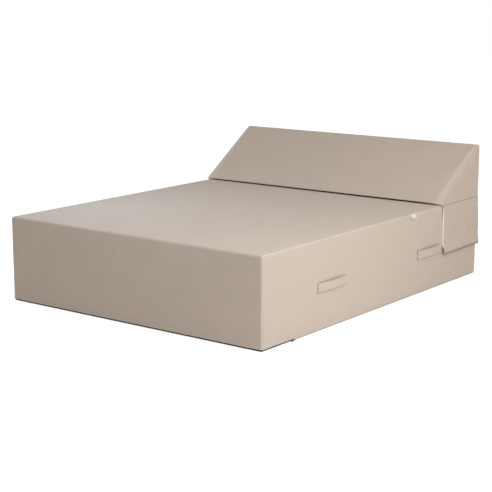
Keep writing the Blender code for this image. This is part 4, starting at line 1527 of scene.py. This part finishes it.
tag_finish = satin()
TAG_PLACE = 0.299
TAG_START = math.radians(55)
TAG_HANG = 14 * MM
TAG_WIDTH, TAG_LENGTH, TAG_LEAN = 44 * MM, 30 * MM, 7 * MM
TAG_BOW, TAG_RIPPLE = 6 * MM, 0.5 * MM
TAG_RADIUS = ARRIS + 0.9 * MM
ARRIS_MIDDLE = Vector((HIGH.x - ARRIS, HIGH.z - ARRIS))
tag = add_grid("folded_tag", 16, 24)
tag_flat = []
for vert in tag.data.vertices:
    along, share = vert.co.x * TAG_WIDTH, 0.5 - vert.co.y
    tag_flat.append((along, share * TAG_LENGTH))
    if share <= 0.5:
        spot = ARRIS_MIDDLE + heading(TAG_START * (1 - share / 0.5)) * TAG_RADIUS
    else:
        fall = (share - 0.5) / 0.5
        out = TAG_RADIUS + TAG_BOW * math.sin(0.8 * math.pi * fall)
        spot = ARRIS_MIDDLE + Vector((out, -TAG_HANG * fall))
        spot.x += TAG_RIPPLE * math.sin(along * 90.0) * fall
    vert.co = (spot.x, TAG_PLACE + along - TAG_LEAN * share, spot.y)
lay_places(tag, tag_flat)
thicken(tag, 0.8 * MM, offset=1.0)
smooth(tag)
keep_sheet(
    tag, "base", "tag_satin", "blank_tag", tag_finish,
    (0.044, 0.0275), ["cover_side_right"], held="hung",
)
print("tag sewn in")

# %% [markdown]
# ## Light, floor and background
# The photograph was lit by large soft lights, mostly from the right and above, in front of a
# white background that shows no edge. So the world gives an even, slightly warm light. Two large
# lamps stand at the right, and a bluish one hangs over the foot end. A small blue one hangs over
# the top's left part, which the photograph shows cooler. Two weak ones, low at the left and
# behind, fill the sides that it doesn't show. The floor is pale and keeps the contact shadow;
# where the camera looks, straight or by a gloss, it and the world are white.

# %% Build the studio
def add_lamp(name, place, aim, size, power, tint):
    data = bpy.data.lights.new(name, "AREA")
    data.shape = "RECTANGLE"
    data.size, data.size_y = size
    data.energy = power
    data.color = tint
    lamp = bpy.data.objects.new(name, data)
    lamp.location = place
    lamp.rotation_euler = (Vector(aim) - Vector(place)).to_track_quat("-Z", "Y").to_euler()
    bpy.context.scene.collection.objects.link(lamp)


WHITE = (1.0, 1.0, 1.0)
for name, place, aim, size, power, tint in (
    ("right_softbox", (3.0, -1.0, 1.2), (0.8, -0.5, 0.2), (0.9, 0.9), 26.4, (0.98, 1.0, 1.0)),
    ("far_right_softbox", (4.0, 1.0, 2.5), (0.8, 0.4, 0.2), (1.0, 1.0), 22.5, (1.0, 0.98, 0.92)),
    ("top_softbox", (0.8, -1.6, 2.6), (0.3, -0.8, 0.4), (1.2, 1.2), 25.2, (0.845, 0.915, 1.0)),
    ("left_softbox", (-0.70, -0.50, 1.25), (-0.70, -0.6, 0.43), (0.4, 0.5), 2.5, (0.45, 0.78, 1)),
    ("low_left_softbox", (-3.2, -0.1, 0.40), (-0.8, 0.0, 0.30), (1.2, 0.3), 9, WHITE),
    ("low_back_softbox", (-0.3, 3.3, 0.40), (0.0, 1.0, 0.35), (1.4, 0.3), 11, WHITE),
):
    add_lamp(name, place, aim, size, power, tint)


def seen_directly(tree):
    """1 for rays of the camera, and for those that a gloss or glass sends on."""
    rays = tree.nodes.new("ShaderNodeLightPath")
    seen = rays.outputs["Is Camera Ray"]
    for ray in ("Is Glossy Ray", "Is Transmission Ray"):
        either = tree.nodes.new("ShaderNodeMath")
        either.operation = "MAXIMUM"
        tree.links.new(seen, either.inputs[0])
        tree.links.new(rays.outputs[ray], either.inputs[1])
        seen = either.outputs[0]
    return seen


world = bpy.data.worlds.new("studio")
bpy.context.scene.world = world
world.use_nodes = True
tree = world.node_tree
tree.nodes.clear()
choice = tree.nodes.new("ShaderNodeMixShader")
tree.links.new(seen_directly(tree), choice.inputs[0])
for socket, strength, colour in ((1, 0.43, (1.0, 0.93, 0.88)), (2, 1.0, WHITE)):
    light = tree.nodes.new("ShaderNodeBackground")
    light.inputs["Color"].default_value = (*colour, 1.0)
    light.inputs["Strength"].default_value = strength
    tree.links.new(light.outputs[0], choice.inputs[socket])
output = tree.nodes.new("ShaderNodeOutputWorld")
tree.links.new(choice.outputs[0], output.inputs["Surface"])

floor = add_grid("studio_floor", 4, 4)
floor.data.transform(Matrix.Diagonal((40.0, 40.0, 1.0, 1.0)))
floor.data.transform(Matrix.Translation((0, 0, -0.5 * MM)))
floor_finish = Finish("studio_floor", roughness=0.9)
floor_finish.set("Base Color", (0.80, 0.80, 0.80))
plain = Wire(floor_finish, floor_finish.shader.outputs[0])
glow = floor_finish.node("Emission", {"Color": WHITE, "Strength": 0.68})
both = floor_finish.node("AddShader", {0: plain, 1: glow})
rays = Wire(floor_finish, seen_directly(floor_finish.tree))
shown = floor_finish.node("MixShader", {0: rays, 1: plain, 2: both})
surface = floor_finish.tree.nodes["Material Output"].inputs["Surface"]
floor_finish.join(surface, shown)
floor.data.materials.append(floor_finish.material)
bpy.context.scene.view_settings.view_transform = "Standard"
print("studio is lit")
